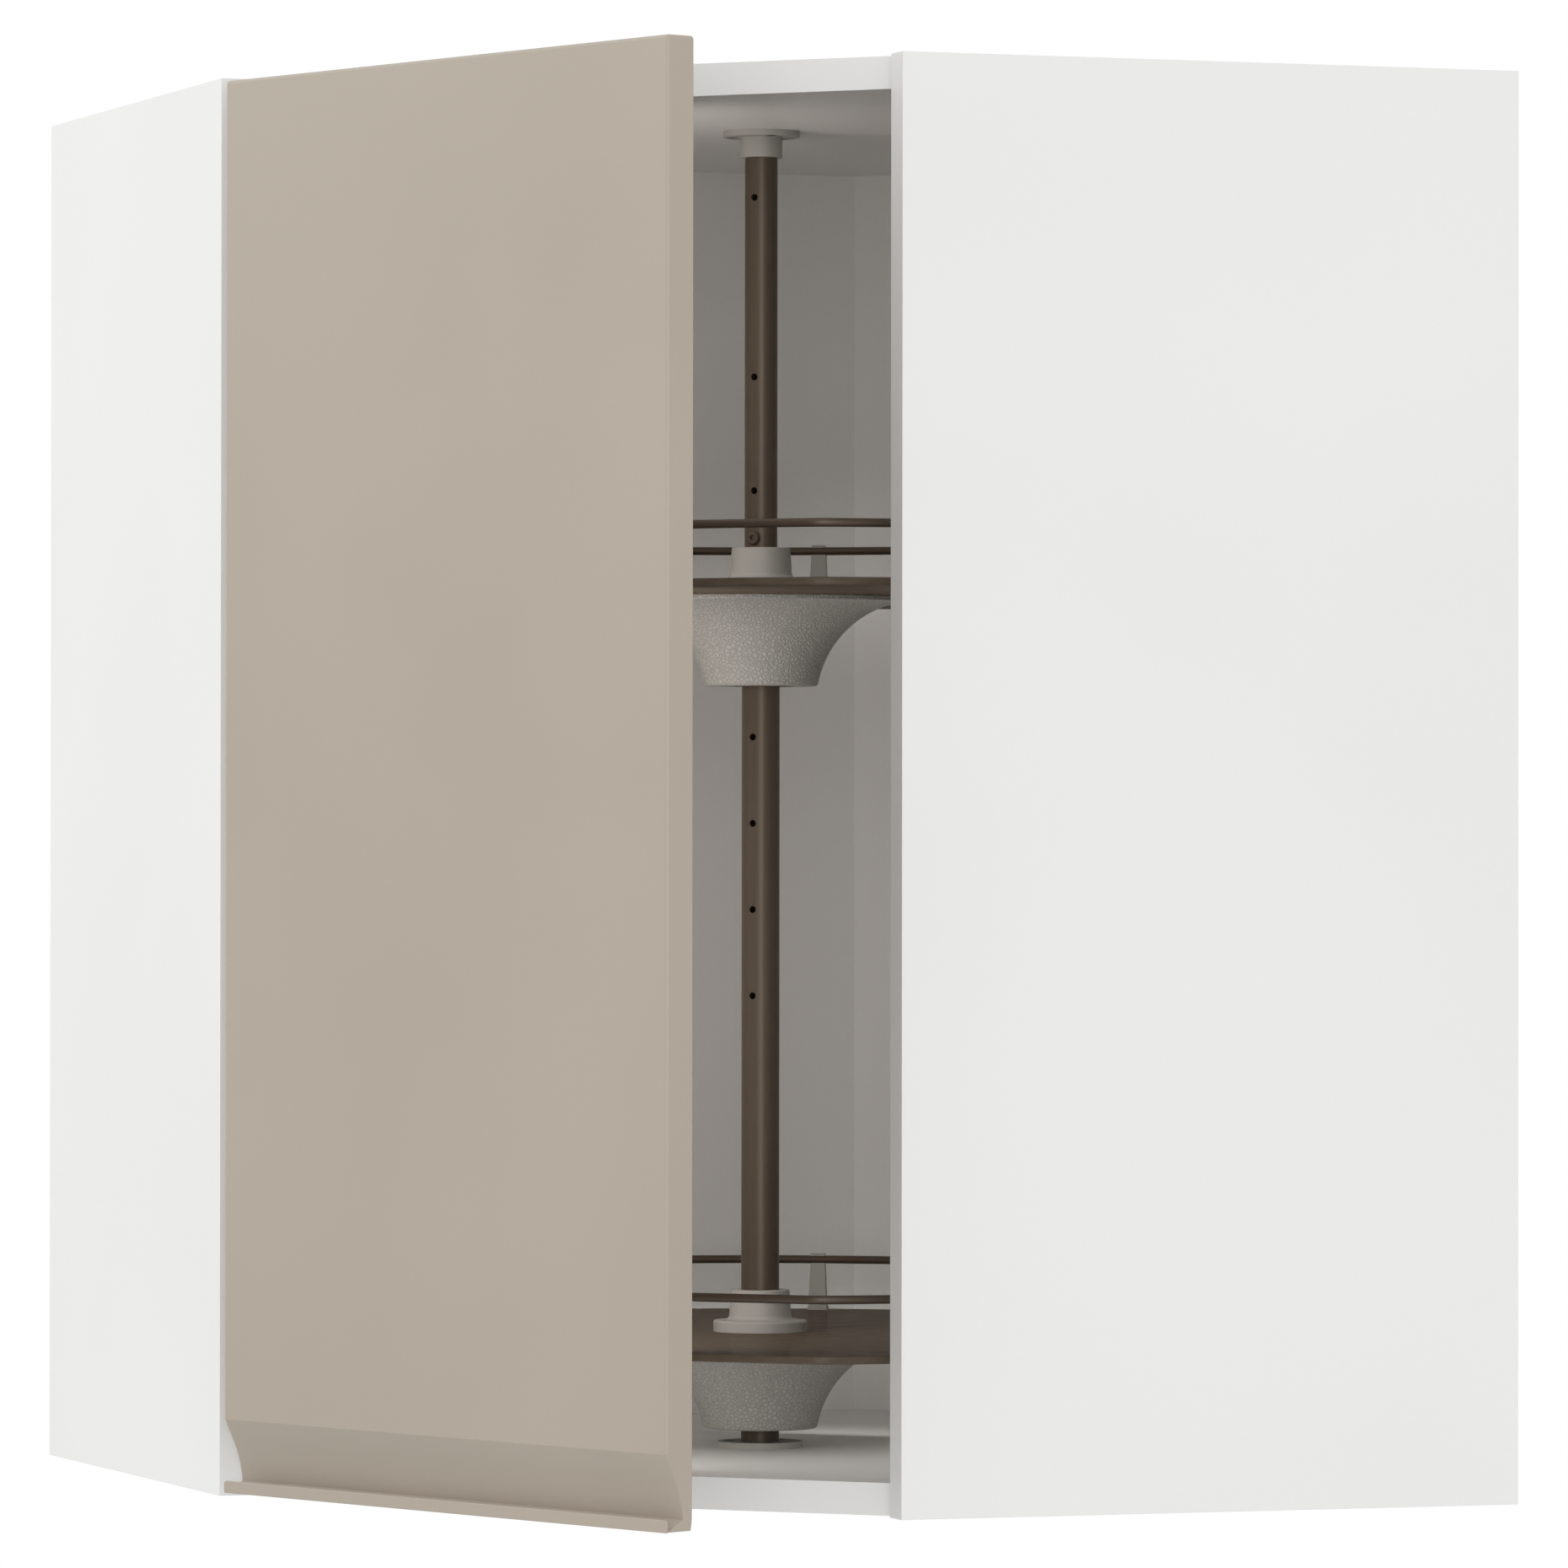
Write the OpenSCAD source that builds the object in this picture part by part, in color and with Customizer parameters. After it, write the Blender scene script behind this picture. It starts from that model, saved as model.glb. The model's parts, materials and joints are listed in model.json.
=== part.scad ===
// Diagonal corner cabinet with a two-tray carousel.
// The carousel turns about Z at X = Y = 0, and Z = 0 is the underside of the cabinet.
// The two room walls lie behind +X and +Y, and the door faces the diagonal between -X and -Y.
// The right half of the carcass is the left half mirrored across the plane X = Y.

/* [Cabinet] */
// Overall height
height = 800; // [600:1:1000]
// Length of the cabinet along each wall
leg = 666; // [640:1:760]
// Depth of each end panel, out from its wall
side_depth = 367; // [350:1:390]
// Thickness of the carcass boards
board = 18; // [16:0.5:22]
// Distance from each wall to the carousel axis
axis_to_wall = 329; // [322:1:340]
// Distance from each wall to the inner face of the back panels
wall_recess = 14; // [10:0.5:16]
// Thickness of the back panels
back_board = 3; // [2.5:0.5:5]
// Cut along each back panel where the diagonal corner panel starts
corner_cut = 141.5; // [100:0.5:160]
// How far the top and bottom panels stop behind the front corners of the end panels
front_setback = 25; // [18:0.5:35]

/* [Carcass fittings] */
// Distance from each end panel's front edge to its front dowel
dowel_front = 95; // [80:1:120]
// Distance from each end panel's wall edge to its back dowel
dowel_wall = 106; // [80:1:130]
// Distance from each end panel's front edge to its front cam
cam_front = 63; // [52:1:72]
// Distance from each end panel's wall edge to its back cam
cam_wall = 74; // [60:1:84]
// Radius of the wooden dowels
dowel_r = 4; // [3:0.5:4]
// Length of a dowel in the end panel
dowel_in_side = 10; // [8:0.5:12]
// Length of a dowel in the top or bottom panel
dowel_in_end = 20; // [15:0.5:30]
// Radius of the cam housings
cam_r = 7.4; // [6:0.1:8]
// Depth of the cam housings
cam_depth = 12.5; // [11:0.1:13]
// Distance from the end panel to a cam's centre
cam_reach = 34; // [24:0.5:40]
// Radius of the cam bolt's shaft
bolt_r = 3; // [2.5:0.1:3]
// Length of the cam bolt's thread in the end panel
bolt_thread = 11; // [9:0.5:12]
// Radius of the pilot holes, inside the end panels, for joining the next cabinet
join_hole_r = 2.5; // [2:0.1:3]
// Depth of the pilot holes
join_depth = 13; // [8:0.5:14]
// Distance between the joining holes
join_spacing = 440; // [200:1:480]
// Thickness of the hanging bracket's side plate
bracket_plate = 2; // [1.5:0.1:3]
// Thickness of the hanging bracket's wall flange
bracket_flange = 2.5; // [2:0.1:4]
// Height and depth of a hanging bracket
bracket_size = 50; // [44:1:60]
// Distance from the top of the cabinet to the hanging brackets
bracket_drop = 28; // [22:1:120]
// Radius of the hanging bracket's bolt hole
bracket_hole_r = 4.5; // [3:0.1:6]

/* [Door] */
// Distance from each end panel's outer front corner to the door's edge, along the front
door_inset = 14.9; // [13.5:0.1:18]
// Door thickness
door_t = 18.5; // [18:0.5:19]
// Gap between the door and the cabinet's top and bottom
door_gap_z = 3; // [1.5:0.5:6]
// Gap between the closed door and the front corners of the end panels
door_gap = 2; // [1:0.5:4]
// Angle at which the door stands ajar
door_ajar = 24.7; // [0:0.1:90]
// Radius of the door outline's corners
door_corner_r = 2.5; // [1:0.1:4]
// Radius along the door's long edges
door_edge_r = 1.2; // [0.5:0.1:2]
// Height of the finger scoop above the door's lower edge
scoop_top = 41.5; // [35:0.1:50]
// Deepest cut of the finger scoop
scoop_depth = 12.3; // [9:0.1:13]
// Slope of the scoop's upper part from the door's front face
scoop_lean = 25.5; // [24:0.5:32]
// Thickness of the bottom flange and the grip lip
lip_t = 1.4; // [1:0.1:2]
// Height of the grip lip
lip_h = 6.9; // [5:0.1:12]

/* [Hinges] */
// Distance from each end of the cabinet to a hinge's middle
hinge_inset = 100; // [80:1:160]
// Distance from the door's hinge edge to the pin
pin_in = 9.5; // [9.3:0.1:10]
// Depth of the pin behind the door's back face
pin_deep = 7.5; // [7:0.1:7.8]
// Pin radius
pin_r = 1.5; // [1:0.1:1.6]
// Outer radius of the hinge cup
cup_r = 17.45; // [17.2:0.05:17.6]
// Wall of the hinge cup
cup_wall = 1.65; // [1.3:0.05:1.7]
// Depth of the hinge cup
cup_depth = 11.8; // [11.6:0.1:13]
// Distance from the door's hinge edge to the cup bore
cup_edge = 4; // [3.8:0.1:4.2]
// Thickness of the arm
arm_t = 4; // [3:0.1:4.2]
// Width of the arm's neck
neck_w = 9; // [6:0.1:9.4]
// Width of the arm's tail on its plate
tail_w = 14; // [12:0.5:18]
// Distance from the end panel's front edge to the plate screws
plate_setback = 37; // [34:1:40]
// Distance between the two plate screws
plate_spacing = 32; // [30:1:40]

/* [Pole] */
// Outer radius of the upper tube
upper_tube_r = 9.5; // [8:0.1:9.6]
// Outer radius of the lower tube
lower_tube_r = 11; // [10.8:0.1:12]
// Wall of both tubes
tube_wall = 1.2; // [0.8:0.1:1.25]
// Height of the lower tube's top end
lower_tube_top = 536; // [525:1:538]
// Height of the upper tube's bottom end
upper_tube_bottom = 455; // [380:1:470]
// Radius of the holes in the tubes
tube_hole_r = 2.05; // [1.8:0.05:2.5]
// Radius of the top bracket's disc
top_disc_r = 22.3; // [20:0.1:30]
// Radius of the bottom bracket's disc
bottom_disc_r = 24.7; // [22:0.1:30]

/* [Trays] */
// Height of the lower tray's underside
lower_tray_z = 80.5; // [75:0.5:90]
// Height from the lower tray to the upper tray
tray_rise = 430.5; // [420:0.5:440]
// Tray thickness
tray_t = 4.6; // [3:0.1:6]
// Gap between a turning tray and the closed door
tray_gap = 3.2; // [2:0.1:20]
// How much the straight front takes off a tray's round side
tray_cut = 40; // [30:1:60]
// Radius of the rail's front corners
rail_corner = 20; // [14:1:60]
// Radius of the rail's wire
wire_r = 2.45; // [1.5:0.05:3]
// Height of the rail's centre above the tray's underside
rail_up = 35.1; // [25:0.1:60]
// How far the tray reaches beyond the rail
tray_margin = 13; // [8:0.5:14]
// Angles of the rail posts from the back of the tray
post_angles = [17.4, 53.4, 89.4, 125.4];
// Radius of a post at its foot
post_foot_r = 5.7; // [5:0.1:7]
// Radius of a post at the rail
post_top_r = 4.6; // [4:0.1:5.5]

/* [Hub] */
// Radius of the hub's top flange
hub_flange_r = 92; // [85:0.5:120]
// Thickness of the hub's top flange
hub_flange_t = 3; // [2:0.1:5]
// Depth of the hub below the tray
hub_depth = 51.4; // [48:0.1:55]
// Radius of the hub's hollow flank
hub_flank_r = 59.1; // [57:0.1:62]
// Distance from the axis to the flank's centre
hub_flank_x = 91.4; // [90:0.1:94]
// Depth of the flank's centre below the tray
hub_flank_z = 60.8; // [59:0.1:62]
// Wall of the hub
hub_wall = 3; // [2:0.1:4]
// Radius of the hub's lower edge
hub_edge_r = 2; // [1:0.1:3]
// Radius of the collar's foot
collar_foot_r = 27.2; // [24:0.1:32]
// Radius of the collar's neck at its foot
collar_neck_r = 18; // [17.5:0.1:20]
// Radius of the collar at its top
collar_top_r = 17; // [16:0.1:18]
// Height of the collar above the tray
collar_up = 24.4; // [20:0.1:28]

/* [Fits] */
// Clearance round pieces that are fixed
fit = 0.05; // [0.02:0.01:0.1]
// Radial clearance of pieces that turn
run = 0.08; // [0.02:0.01:0.1]

/* [Hidden] */
$fn = 96;
root2 = sqrt(2);
far = 1000;
over = 1;

// Carcass planes
outer_x = axis_to_wall - leg;
inner_x = outer_x + board;
front_y = axis_to_wall - side_depth;
back_in = axis_to_wall - wall_recess;
floor_top = board;
ceiling = height - board;
corner_dist = -(outer_x + front_y) / root2;
end_front = corner_dist - front_setback;
groove = 6;
groove_bite = 5.5;
cut_x = back_in - corner_cut;
cut_miter = cut_x + back_board * tan(22.5);
back_out = back_in + back_board;

// Carcass joints
dowel_ys = [front_y + dowel_front, axis_to_wall - dowel_wall];
cam_ys = [front_y + cam_front, axis_to_wall - cam_wall];
joint_up = board / 2;
bolt_head_r = bolt_r + 0.5;
bolt_head = 3;
screw_r = 1.75;
screw_head_r = 3.5;
screw_head = 2;
screw_grip = 12;
join_mid = height / 2;
bracket_top = height - bracket_drop;
bracket_reach = 45;
bracket_hole_x = inner_x + 26;
bracket_hole_z = bracket_top - 24;
bracket_screws = [[38, 12], [38, 38], [18, 25]];
back_slot = 22;

// Door frame: X runs along the door from its hinge edge, Y points into the cabinet
door_h = height - 2 * door_gap_z;
door_w = (front_y - outer_x) * root2 - 2 * door_inset;
door_back = corner_dist + door_gap;
hinge_corner_x = outer_x + (door_inset - door_gap) / root2;
hinge_corner_y = front_y - (door_inset + door_gap) / root2;
pin_x = hinge_corner_x + (pin_in - pin_deep) / root2;
pin_y = hinge_corner_y - (pin_in + pin_deep) / root2;
hinge_zs = [hinge_inset, height - hinge_inset];
scoop_foot = lip_t + 0.6;
scoop_r = ((scoop_top - scoop_foot) * tan(scoop_lean) - scoop_depth) / (1 / cos(scoop_lean) - 1);

// Hinge frame: origin at the pin, X into the cabinet from the end panel, Y out of its front edge
cup_bore_r = cup_r + fit;
cup_in = cup_edge + cup_bore_r;
cup_cavity_r = cup_r - cup_wall;
cup_cavity = cup_depth - 0.8;
cup_ring_r = cup_r + 1.55;
cup_ring = 1;
cup_screw_in = cup_in + 9.5;
cup_screw_z = 22.5;
cup_wing_r = 6;
pin_half = sqrt(pow(cup_r, 2) - pow(cup_in - pin_in + pin_r, 2)) - 0.3;
eye_r = pin_r + 1.1;
hook_x = 9.6;
hook_y = 1.6;
hook_r = arm_t / 2 + 3.6;
hook_far = sqrt(pow(hook_x, 2) + pow(hook_y, 2));
hook_lean = atan2(hook_y, hook_x) + asin(hook_r / hook_far);
hook_run = sqrt(pow(hook_far, 2) - pow(hook_r, 2));
leg_x = hook_x + hook_r;
plate_top = pin_x - inner_x + leg_x - arm_t / 2;
front_v = pin_y - front_y;
plate_base = 2;
plate_front = 18;
plate_back = 58;
plate_wing = 7;
tail_front = 8;
arm_screw_back = 50;
arm_screw_r = 3;
arm_screw_head_r = 5.5;
arm_screw_head = 2.2;
plate_screw_r = 2.5;
plate_screw_head_r = 4.2;
plate_screw_head = 1.8;

// Pole
tube_bottom = floor_top + 1;
tube_top = ceiling - 0.5;
disc_t = 3.6;
bottom_disc_t = 3.6;
top_collar_r = 12.15;
top_collar = 11.8;
bracket_screw_at = 17;
bottom_screw_at = 18;
lock_screw_z = lower_tube_top + 9.5;
lock_screw_head_r = 4.1;
lock_screw_head = 2.4;
upper_holes = [ceiling - 38.9, ceiling - 143.1, ceiling - 209.1];
pin_drop = 31;
hole_pitch = 50;
upper_pin_z = lower_tray_z + tray_rise - pin_drop;
lower_holes = [for (i = [1:4]) upper_pin_z - i * hole_pitch];

// Trays, in a frame whose origin is on the axis at the tray's underside and whose X faces the door
tray_zs = [lower_tray_z, lower_tray_z + tray_rise];
tray_r = min(door_back, -inner_x, back_in) - tray_gap;
rail_r = tray_r - tray_margin;
rail_front = rail_r - tray_cut;
corner_x = rail_front - rail_corner;
corner_y = sqrt(pow(rail_r - rail_corner, 2) - pow(corner_x, 2));
corner_lean = atan2(corner_y, corner_x);
sleeve_r = 15;
sleeve_down = 20;
boss_r = 18.5;
boss_down = 22;
washer_t = 2;
ring_r = 16.5;
ring_h = 14;
hub_mouth_r = 17.2;
edge_x = hub_flank_x - sqrt(pow(hub_flank_r + hub_edge_r, 2) - pow(hub_flank_z - hub_depth + hub_edge_r, 2));
edge_z = -hub_depth + hub_edge_r;
edge_touch = edge_z - hub_edge_r * (hub_flank_z + edge_z) / (hub_flank_r + hub_edge_r);
foot_side = 5.3;
foot_round = 1.5;
neck_fillet = 3;
weld_r = wire_r + 0.15;
weld_reach = 1;
weld_gap = 0.2;
post_cap = 1.2;
post_foot = 1.5;
post_disc_r = 6.1;
post_screw_r = 1.4;
post_screw_up = 16;
post_head_r = 3.2;
post_head = 1.8;

WHITE = "#ecebe8";
BACK = "#e4e3df";
BEIGE = "#b0a596";
STEEL = "#b9bcbf";
BRONZE = "#4a4038";
GREY = "#c9c8c3";
SMOKE = [0.36, 0.31, 0.27, 0.8];

// --- Placement ---

module both_sides() {
    for (m = [0, 1]) mirror([m, -m, 0]) children();
}

module both_ends() {
    for (k = [0, 1]) translate([0, 0, k * height]) mirror([0, 0, k]) children();
}

module rod_x(x, y, z, r, length) {
    translate([x, y, z]) rotate([0, 90, 0]) cylinder(r = r, h = length);
}

module rod_y(x, y, z, r, length) {
    translate([x, y, z]) rotate([-90, 0, 0]) cylinder(r = r, h = length);
}

module facing_door() {
    rotate([0, 0, -135]) children();
}

module in_door_frame() {
    translate([pin_x, pin_y, 0]) rotate([0, 0, -45 - door_ajar]) translate([-pin_in, pin_deep, 0]) children();
}

module at_hinges() {
    for (z = hinge_zs) translate([0, 0, z]) children();
}

module in_hinge_frame() {
    translate([pin_x, pin_y, 0]) mirror([0, 1, 0]) children();
}

module at_level(i) {
    translate([0, 0, tray_zs[i]]) children();
}

// --- Carcass ---

module side_panel() {
    difference() {
        translate([outer_x, front_y, 0]) cube([board, side_depth, height]);
        translate([inner_x - groove, back_in, -over])
            cube([groove + over, back_board + 2 * fit, height + 2 * over]);
        both_ends() {
            for (y = dowel_ys)
                rod_x(inner_x - dowel_in_side - 0.5, y, joint_up, dowel_r + fit, dowel_in_side + 1);
            for (y = cam_ys)
                rod_x(inner_x - bolt_thread - 0.5, y, joint_up, bolt_r - 0.5 + fit, bolt_thread + 1);
        }
        for (k = [-1, 1])
            rod_x(inner_x - join_depth, front_y + plate_setback, join_mid + k * join_spacing / 2,
                join_hole_r, join_depth + over);
        for (p = bracket_screws)
            rod_x(inner_x - screw_grip - 0.5, back_in - p[0], bracket_top - p[1],
                screw_r + fit, screw_grip + 1);
    }
}

module left_side_panel() {
    color(WHITE) difference() {
        side_panel();
        for (z = hinge_zs, k = [-1, 1])
            rod_x(inner_x - screw_grip - 0.5, front_y + plate_setback, z + k * plate_spacing / 2,
                plate_screw_r + fit, screw_grip + 1);
    }
}

module right_side_panel() {
    color(WHITE) mirror([1, -1, 0]) side_panel();
}

module end_panel(screw_at) {
    front = -end_front * root2;
    difference() {
        linear_extrude(height = board) polygon([
            [inner_x, front - inner_x], [inner_x, back_in], [cut_x, back_in],
            [back_in, cut_x], [back_in, inner_x], [front - inner_x, inner_x]]);
        both_sides() {
            for (y = dowel_ys)
                rod_x(inner_x - over, y, joint_up, dowel_r + fit, dowel_in_end + 0.5 + over);
            for (y = cam_ys) {
                rod_x(inner_x - over, y, joint_up, bolt_head_r + 0.3, cam_reach + over);
                translate([inner_x + cam_reach, y, -over])
                    cylinder(r = cam_r + fit, h = cam_depth + 0.2 + over);
            }
        }
        bracket_screw_places(screw_at) translate([0, 0, board - screw_grip - 0.5])
            cylinder(r = screw_r + fit, h = screw_grip + 1);
    }
}

module bottom_panel() {
    color(WHITE) end_panel(bottom_screw_at);
}

module top_panel() {
    color(WHITE) translate([0, 0, height]) mirror([0, 0, 1]) end_panel(bracket_screw_at);
}

module back_panel() {
    difference() {
        translate([0, 0, 0.5]) linear_extrude(height = height - 1) polygon([
            [inner_x - groove_bite, back_in], [cut_x, back_in],
            [cut_miter, back_out], [inner_x - groove_bite, back_out]]);
        translate([inner_x - groove, back_in - over, bracket_hole_z - back_slot / 2])
            cube([bracket_hole_x - inner_x + groove + back_slot / 2, back_board + 2 * over, back_slot]);
    }
}

module left_back_panel() {
    color(BACK) back_panel();
}

module right_back_panel() {
    color(BACK) mirror([1, -1, 0]) back_panel();
}

module corner_back_panel() {
    color(BACK) translate([0, 0, 0.5]) linear_extrude(height = height - 1) polygon([
        [cut_x, back_in], [back_in, cut_x], [back_out, cut_miter], [cut_miter, back_out]]);
}

module carcass_dowels() {
    color("tan") both_sides() both_ends() for (y = dowel_ys)
        rod_x(inner_x - dowel_in_side, y, joint_up, dowel_r, dowel_in_side + dowel_in_end);
}

module cam_lock() {
    difference() {
        translate([0, 0, 0.3]) cylinder(r = cam_r, h = cam_depth - 0.3);
        rod_x(-cam_r - over, 0, joint_up, bolt_head_r + 0.3, cam_r + over + 0.5);
        for (a = [0, 90]) rotate([0, 0, a]) translate([-4, -0.8, 0]) cube([8, 1.6, 1.6]);
    }
}

module cam_locks() {
    color(STEEL) both_sides() both_ends() for (y = cam_ys)
        translate([inner_x + cam_reach, y, 0]) cam_lock();
}

module cam_bolts() {
    color(STEEL) both_sides() both_ends() for (y = cam_ys) union() {
        rod_x(inner_x - bolt_thread, y, joint_up, bolt_r - 0.5, bolt_thread);
        rod_x(inner_x, y, joint_up, bolt_r, cam_reach - bolt_head);
        rod_x(inner_x + cam_reach - bolt_head, y, joint_up, bolt_head_r, bolt_head);
    }
}

module hanging_bracket() {
    difference() {
        union() {
            translate([inner_x, back_in - bracket_size, bracket_top - bracket_size])
                cube([bracket_plate, bracket_size, bracket_size]);
            translate([inner_x, back_in - bracket_flange, bracket_top - bracket_size])
                cube([bracket_reach, bracket_flange, bracket_size]);
        }
        rod_y(bracket_hole_x, back_in - bracket_flange - over, bracket_hole_z,
            bracket_hole_r, bracket_flange + 2 * over);
        for (p = bracket_screws)
            rod_x(inner_x - over, back_in - p[0], bracket_top - p[1],
                screw_r + fit, bracket_plate + 2 * over);
    }
}

module hanging_brackets() {
    color(STEEL) both_sides() hanging_bracket();
}

// A pan head screw that points along -X, with its head's underside at X = 0
module pan_screw(r, grip, head_r, head) {
    difference() {
        union() {
            rod_x(-grip, 0, 0, r, grip);
            rod_x(0, 0, 0, head_r, head);
        }
        for (a = [0, 90]) rotate([a, 0, 0])
            translate([head - 1, -head_r * 0.5, -0.4]) cube([2, head_r, 0.8]);
    }
}

module hanging_bracket_screws() {
    color(STEEL) both_sides() for (p = bracket_screws)
        translate([inner_x + bracket_plate, back_in - p[0], bracket_top - p[1]])
            pan_screw(screw_r, screw_grip + bracket_plate, screw_head_r, screw_head);
}

// --- Hinges ---

module plate_screw_places() {
    at_hinges() for (k = [-1, 1])
        translate([inner_x + plate_base, front_y + plate_setback, k * plate_spacing / 2]) children();
}

module arm_screw_places() {
    at_hinges() translate([inner_x + plate_top + arm_t, front_y + arm_screw_back, 0]) children();
}

module hinge_plates() {
    color(STEEL) difference() {
        at_hinges() translate([inner_x, front_y, 0]) {
            translate([0, plate_setback - plate_wing, -plate_spacing / 2 - plate_wing])
                cube([plate_base, 2 * plate_wing, plate_spacing + 2 * plate_wing]);
            translate([0, plate_front, -tail_w / 2 - 1])
                cube([plate_top, plate_back - plate_front, tail_w + 2]);
        }
        plate_screw_places() rod_x(-plate_base - over, 0, 0, plate_screw_r + fit, plate_base + 2 * over);
        arm_screw_places() rod_x(-arm_t - plate_top - over, 0, 0, arm_screw_r + fit, plate_top + 2 * over);
    }
}

module hinge_plate_screws() {
    color(STEEL) plate_screw_places()
        pan_screw(plate_screw_r, screw_grip + plate_base, plate_screw_head_r, plate_screw_head);
}

// The arm hooks from the pin round the place that the door's edge reaches when wide open
module arm_outline() {
    circle(r = eye_r);
    rotate(hook_lean) translate([0, -arm_t / 2]) square([hook_run, arm_t]);
    translate([hook_x, hook_y]) intersection() {
        difference() {
            circle(r = hook_r + arm_t / 2);
            circle(r = hook_r - arm_t / 2);
        }
        union() {
            square(2 * hook_r);
            rotate(hook_lean) square(2 * hook_r);
        }
    }
    translate([leg_x - arm_t / 2, front_v + hook_y]) square([arm_t, hook_y - front_v - hook_y]);
}

module hinge_arms() {
    color(STEEL) difference() {
        at_hinges() union() {
            in_hinge_frame() translate([0, 0, -neck_w / 2]) linear_extrude(height = neck_w) difference() {
                union() {
                    arm_outline();
                    translate([leg_x - arm_t / 2, front_v - tail_front - over])
                        square([arm_t, hook_y - front_v + tail_front + over]);
                }
                circle(r = pin_r + run);
            }
            translate([inner_x + plate_top, front_y + tail_front, -tail_w / 2])
                cube([arm_t, plate_back - tail_front, tail_w]);
        }
        arm_screw_places() rod_x(-arm_t - over, 0, 0, arm_screw_r + fit, arm_t + 2 * over);
    }
}

module hinge_arm_screws() {
    color(STEEL) arm_screw_places()
        pan_screw(arm_screw_r, arm_t + plate_top - 0.3, arm_screw_head_r, arm_screw_head);
}

module hinge_pins() {
    color(STEEL) in_door_frame() at_hinges()
        translate([pin_in, -pin_deep, -pin_half]) cylinder(r = pin_r, h = 2 * pin_half);
}

module cup_wings() {
    square([2 * cup_wing_r, 2 * cup_screw_z], center = true);
    for (k = [-1, 1]) translate([0, k * cup_screw_z]) circle(r = cup_wing_r);
}

module hinge_cups() {
    color(STEEL) in_door_frame() at_hinges() difference() {
        union() {
            rod_y(cup_in, -cup_depth, 0, cup_r, cup_depth);
            rod_y(cup_in, 0, 0, cup_ring_r, cup_ring);
            translate([cup_screw_in, 0, 0]) rotate([-90, 0, 0]) linear_extrude(height = cup_ring) cup_wings();
        }
        rod_y(cup_in, -cup_cavity, 0, cup_cavity_r, cup_cavity + cup_ring + over);
        translate([pin_in, -pin_deep, -pin_half - 0.1]) cylinder(r = pin_r + fit, h = 2 * pin_half + 0.2);
        for (k = [-1, 1]) rod_y(cup_screw_in, -over, k * cup_screw_z, screw_r + fit, cup_ring + 2 * over);
    }
}

module hinge_cup_screws() {
    color(STEEL) in_door_frame() at_hinges() for (k = [-1, 1])
        translate([cup_screw_in, cup_ring, k * cup_screw_z]) rotate([0, 0, 90])
            pan_screw(screw_r, screw_grip, screw_head_r, screw_head);
}

// --- Door ---

module rounded_rectangle(w, h, r) {
    translate([r, 0]) square([w - 2 * r, h]);
    translate([0, r]) square([w, h - 2 * r]);
    for (x = [r, w - r], y = [r, h - r]) translate([x, y]) circle(r = r);
}

// Section through the scoop: X is the depth behind the front face, Y is the height
module scoop_section() {
    intersection() {
        translate([scoop_depth - scoop_r, scoop_foot]) circle(r = scoop_r, $fn = 180);
        translate([-over, lip_t]) square([door_t, scoop_foot - lip_t + scoop_r * sin(scoop_lean)]);
    }
    polygon([[-over, scoop_top + over / tan(scoop_lean)], [-over, scoop_foot],
        [scoop_depth - scoop_r * (1 - cos(scoop_lean)), scoop_foot + scoop_r * sin(scoop_lean)]]);
}

module door_blank() {
    intersection() {
        rotate([90, 0, 0]) linear_extrude(height = door_t) rounded_rectangle(door_w, door_h, door_corner_r);
        translate([0, -door_t, 0]) linear_extrude(height = door_h) rounded_rectangle(door_w, door_t, door_edge_r);
    }
}

module grip_lip() {
    translate([0, -door_t + lip_t, 0]) rotate([90, 0, 0]) linear_extrude(height = lip_t)
        rounded_rectangle(door_w, lip_h, door_corner_r);
}

module door_panel() {
    color(BEIGE) in_door_frame() difference() {
        translate([0, 0, door_gap_z]) union() {
            difference() {
                door_blank();
                translate([-over, -door_t, 0]) rotate([90, 0, 90])
                    linear_extrude(height = door_w + 2 * over) scoop_section();
            }
            grip_lip();
        }
        at_hinges() {
            rod_y(cup_in, -cup_depth - 0.2, 0, cup_bore_r, cup_depth + 0.2 + over);
            for (k = [-1, 1])
                rod_y(cup_screw_in, -screw_grip - 0.5, k * cup_screw_z, screw_r + fit, screw_grip + 1);
        }
    }
}

// --- Pole ---

module tube(r, bottom, top) {
    difference() {
        translate([0, 0, bottom]) cylinder(r = r, h = top - bottom);
        translate([0, 0, bottom - over]) cylinder(r = r - tube_wall, h = top - bottom + 2 * over);
    }
}

module cross_hole(z, r) {
    facing_door() rod_x(-2 * lower_tube_r, 0, z, r, 4 * lower_tube_r);
}

module pole_upper_tube() {
    color(BRONZE) difference() {
        tube(upper_tube_r, upper_tube_bottom, tube_top);
        for (z = concat(upper_holes, [upper_pin_z, lock_screw_z])) cross_hole(z, tube_hole_r);
    }
}

module pole_lower_tube() {
    color(BRONZE) difference() {
        tube(lower_tube_r, tube_bottom, lower_tube_top);
        for (z = concat(lower_holes, [upper_pin_z, lower_tray_z - pin_drop])) cross_hole(z, tube_hole_r);
    }
}

module pole_lock_screw() {
    color(BRONZE) facing_door() translate([upper_tube_r, 0, lock_screw_z])
        pan_screw(tube_hole_r - fit, 2 * upper_tube_r, lock_screw_head_r, lock_screw_head);
}

module bracket_screw_places(at) {
    for (a = [45, 165, 285]) facing_door() rotate([0, 0, a]) translate([at, 0, 0]) children();
}

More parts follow.
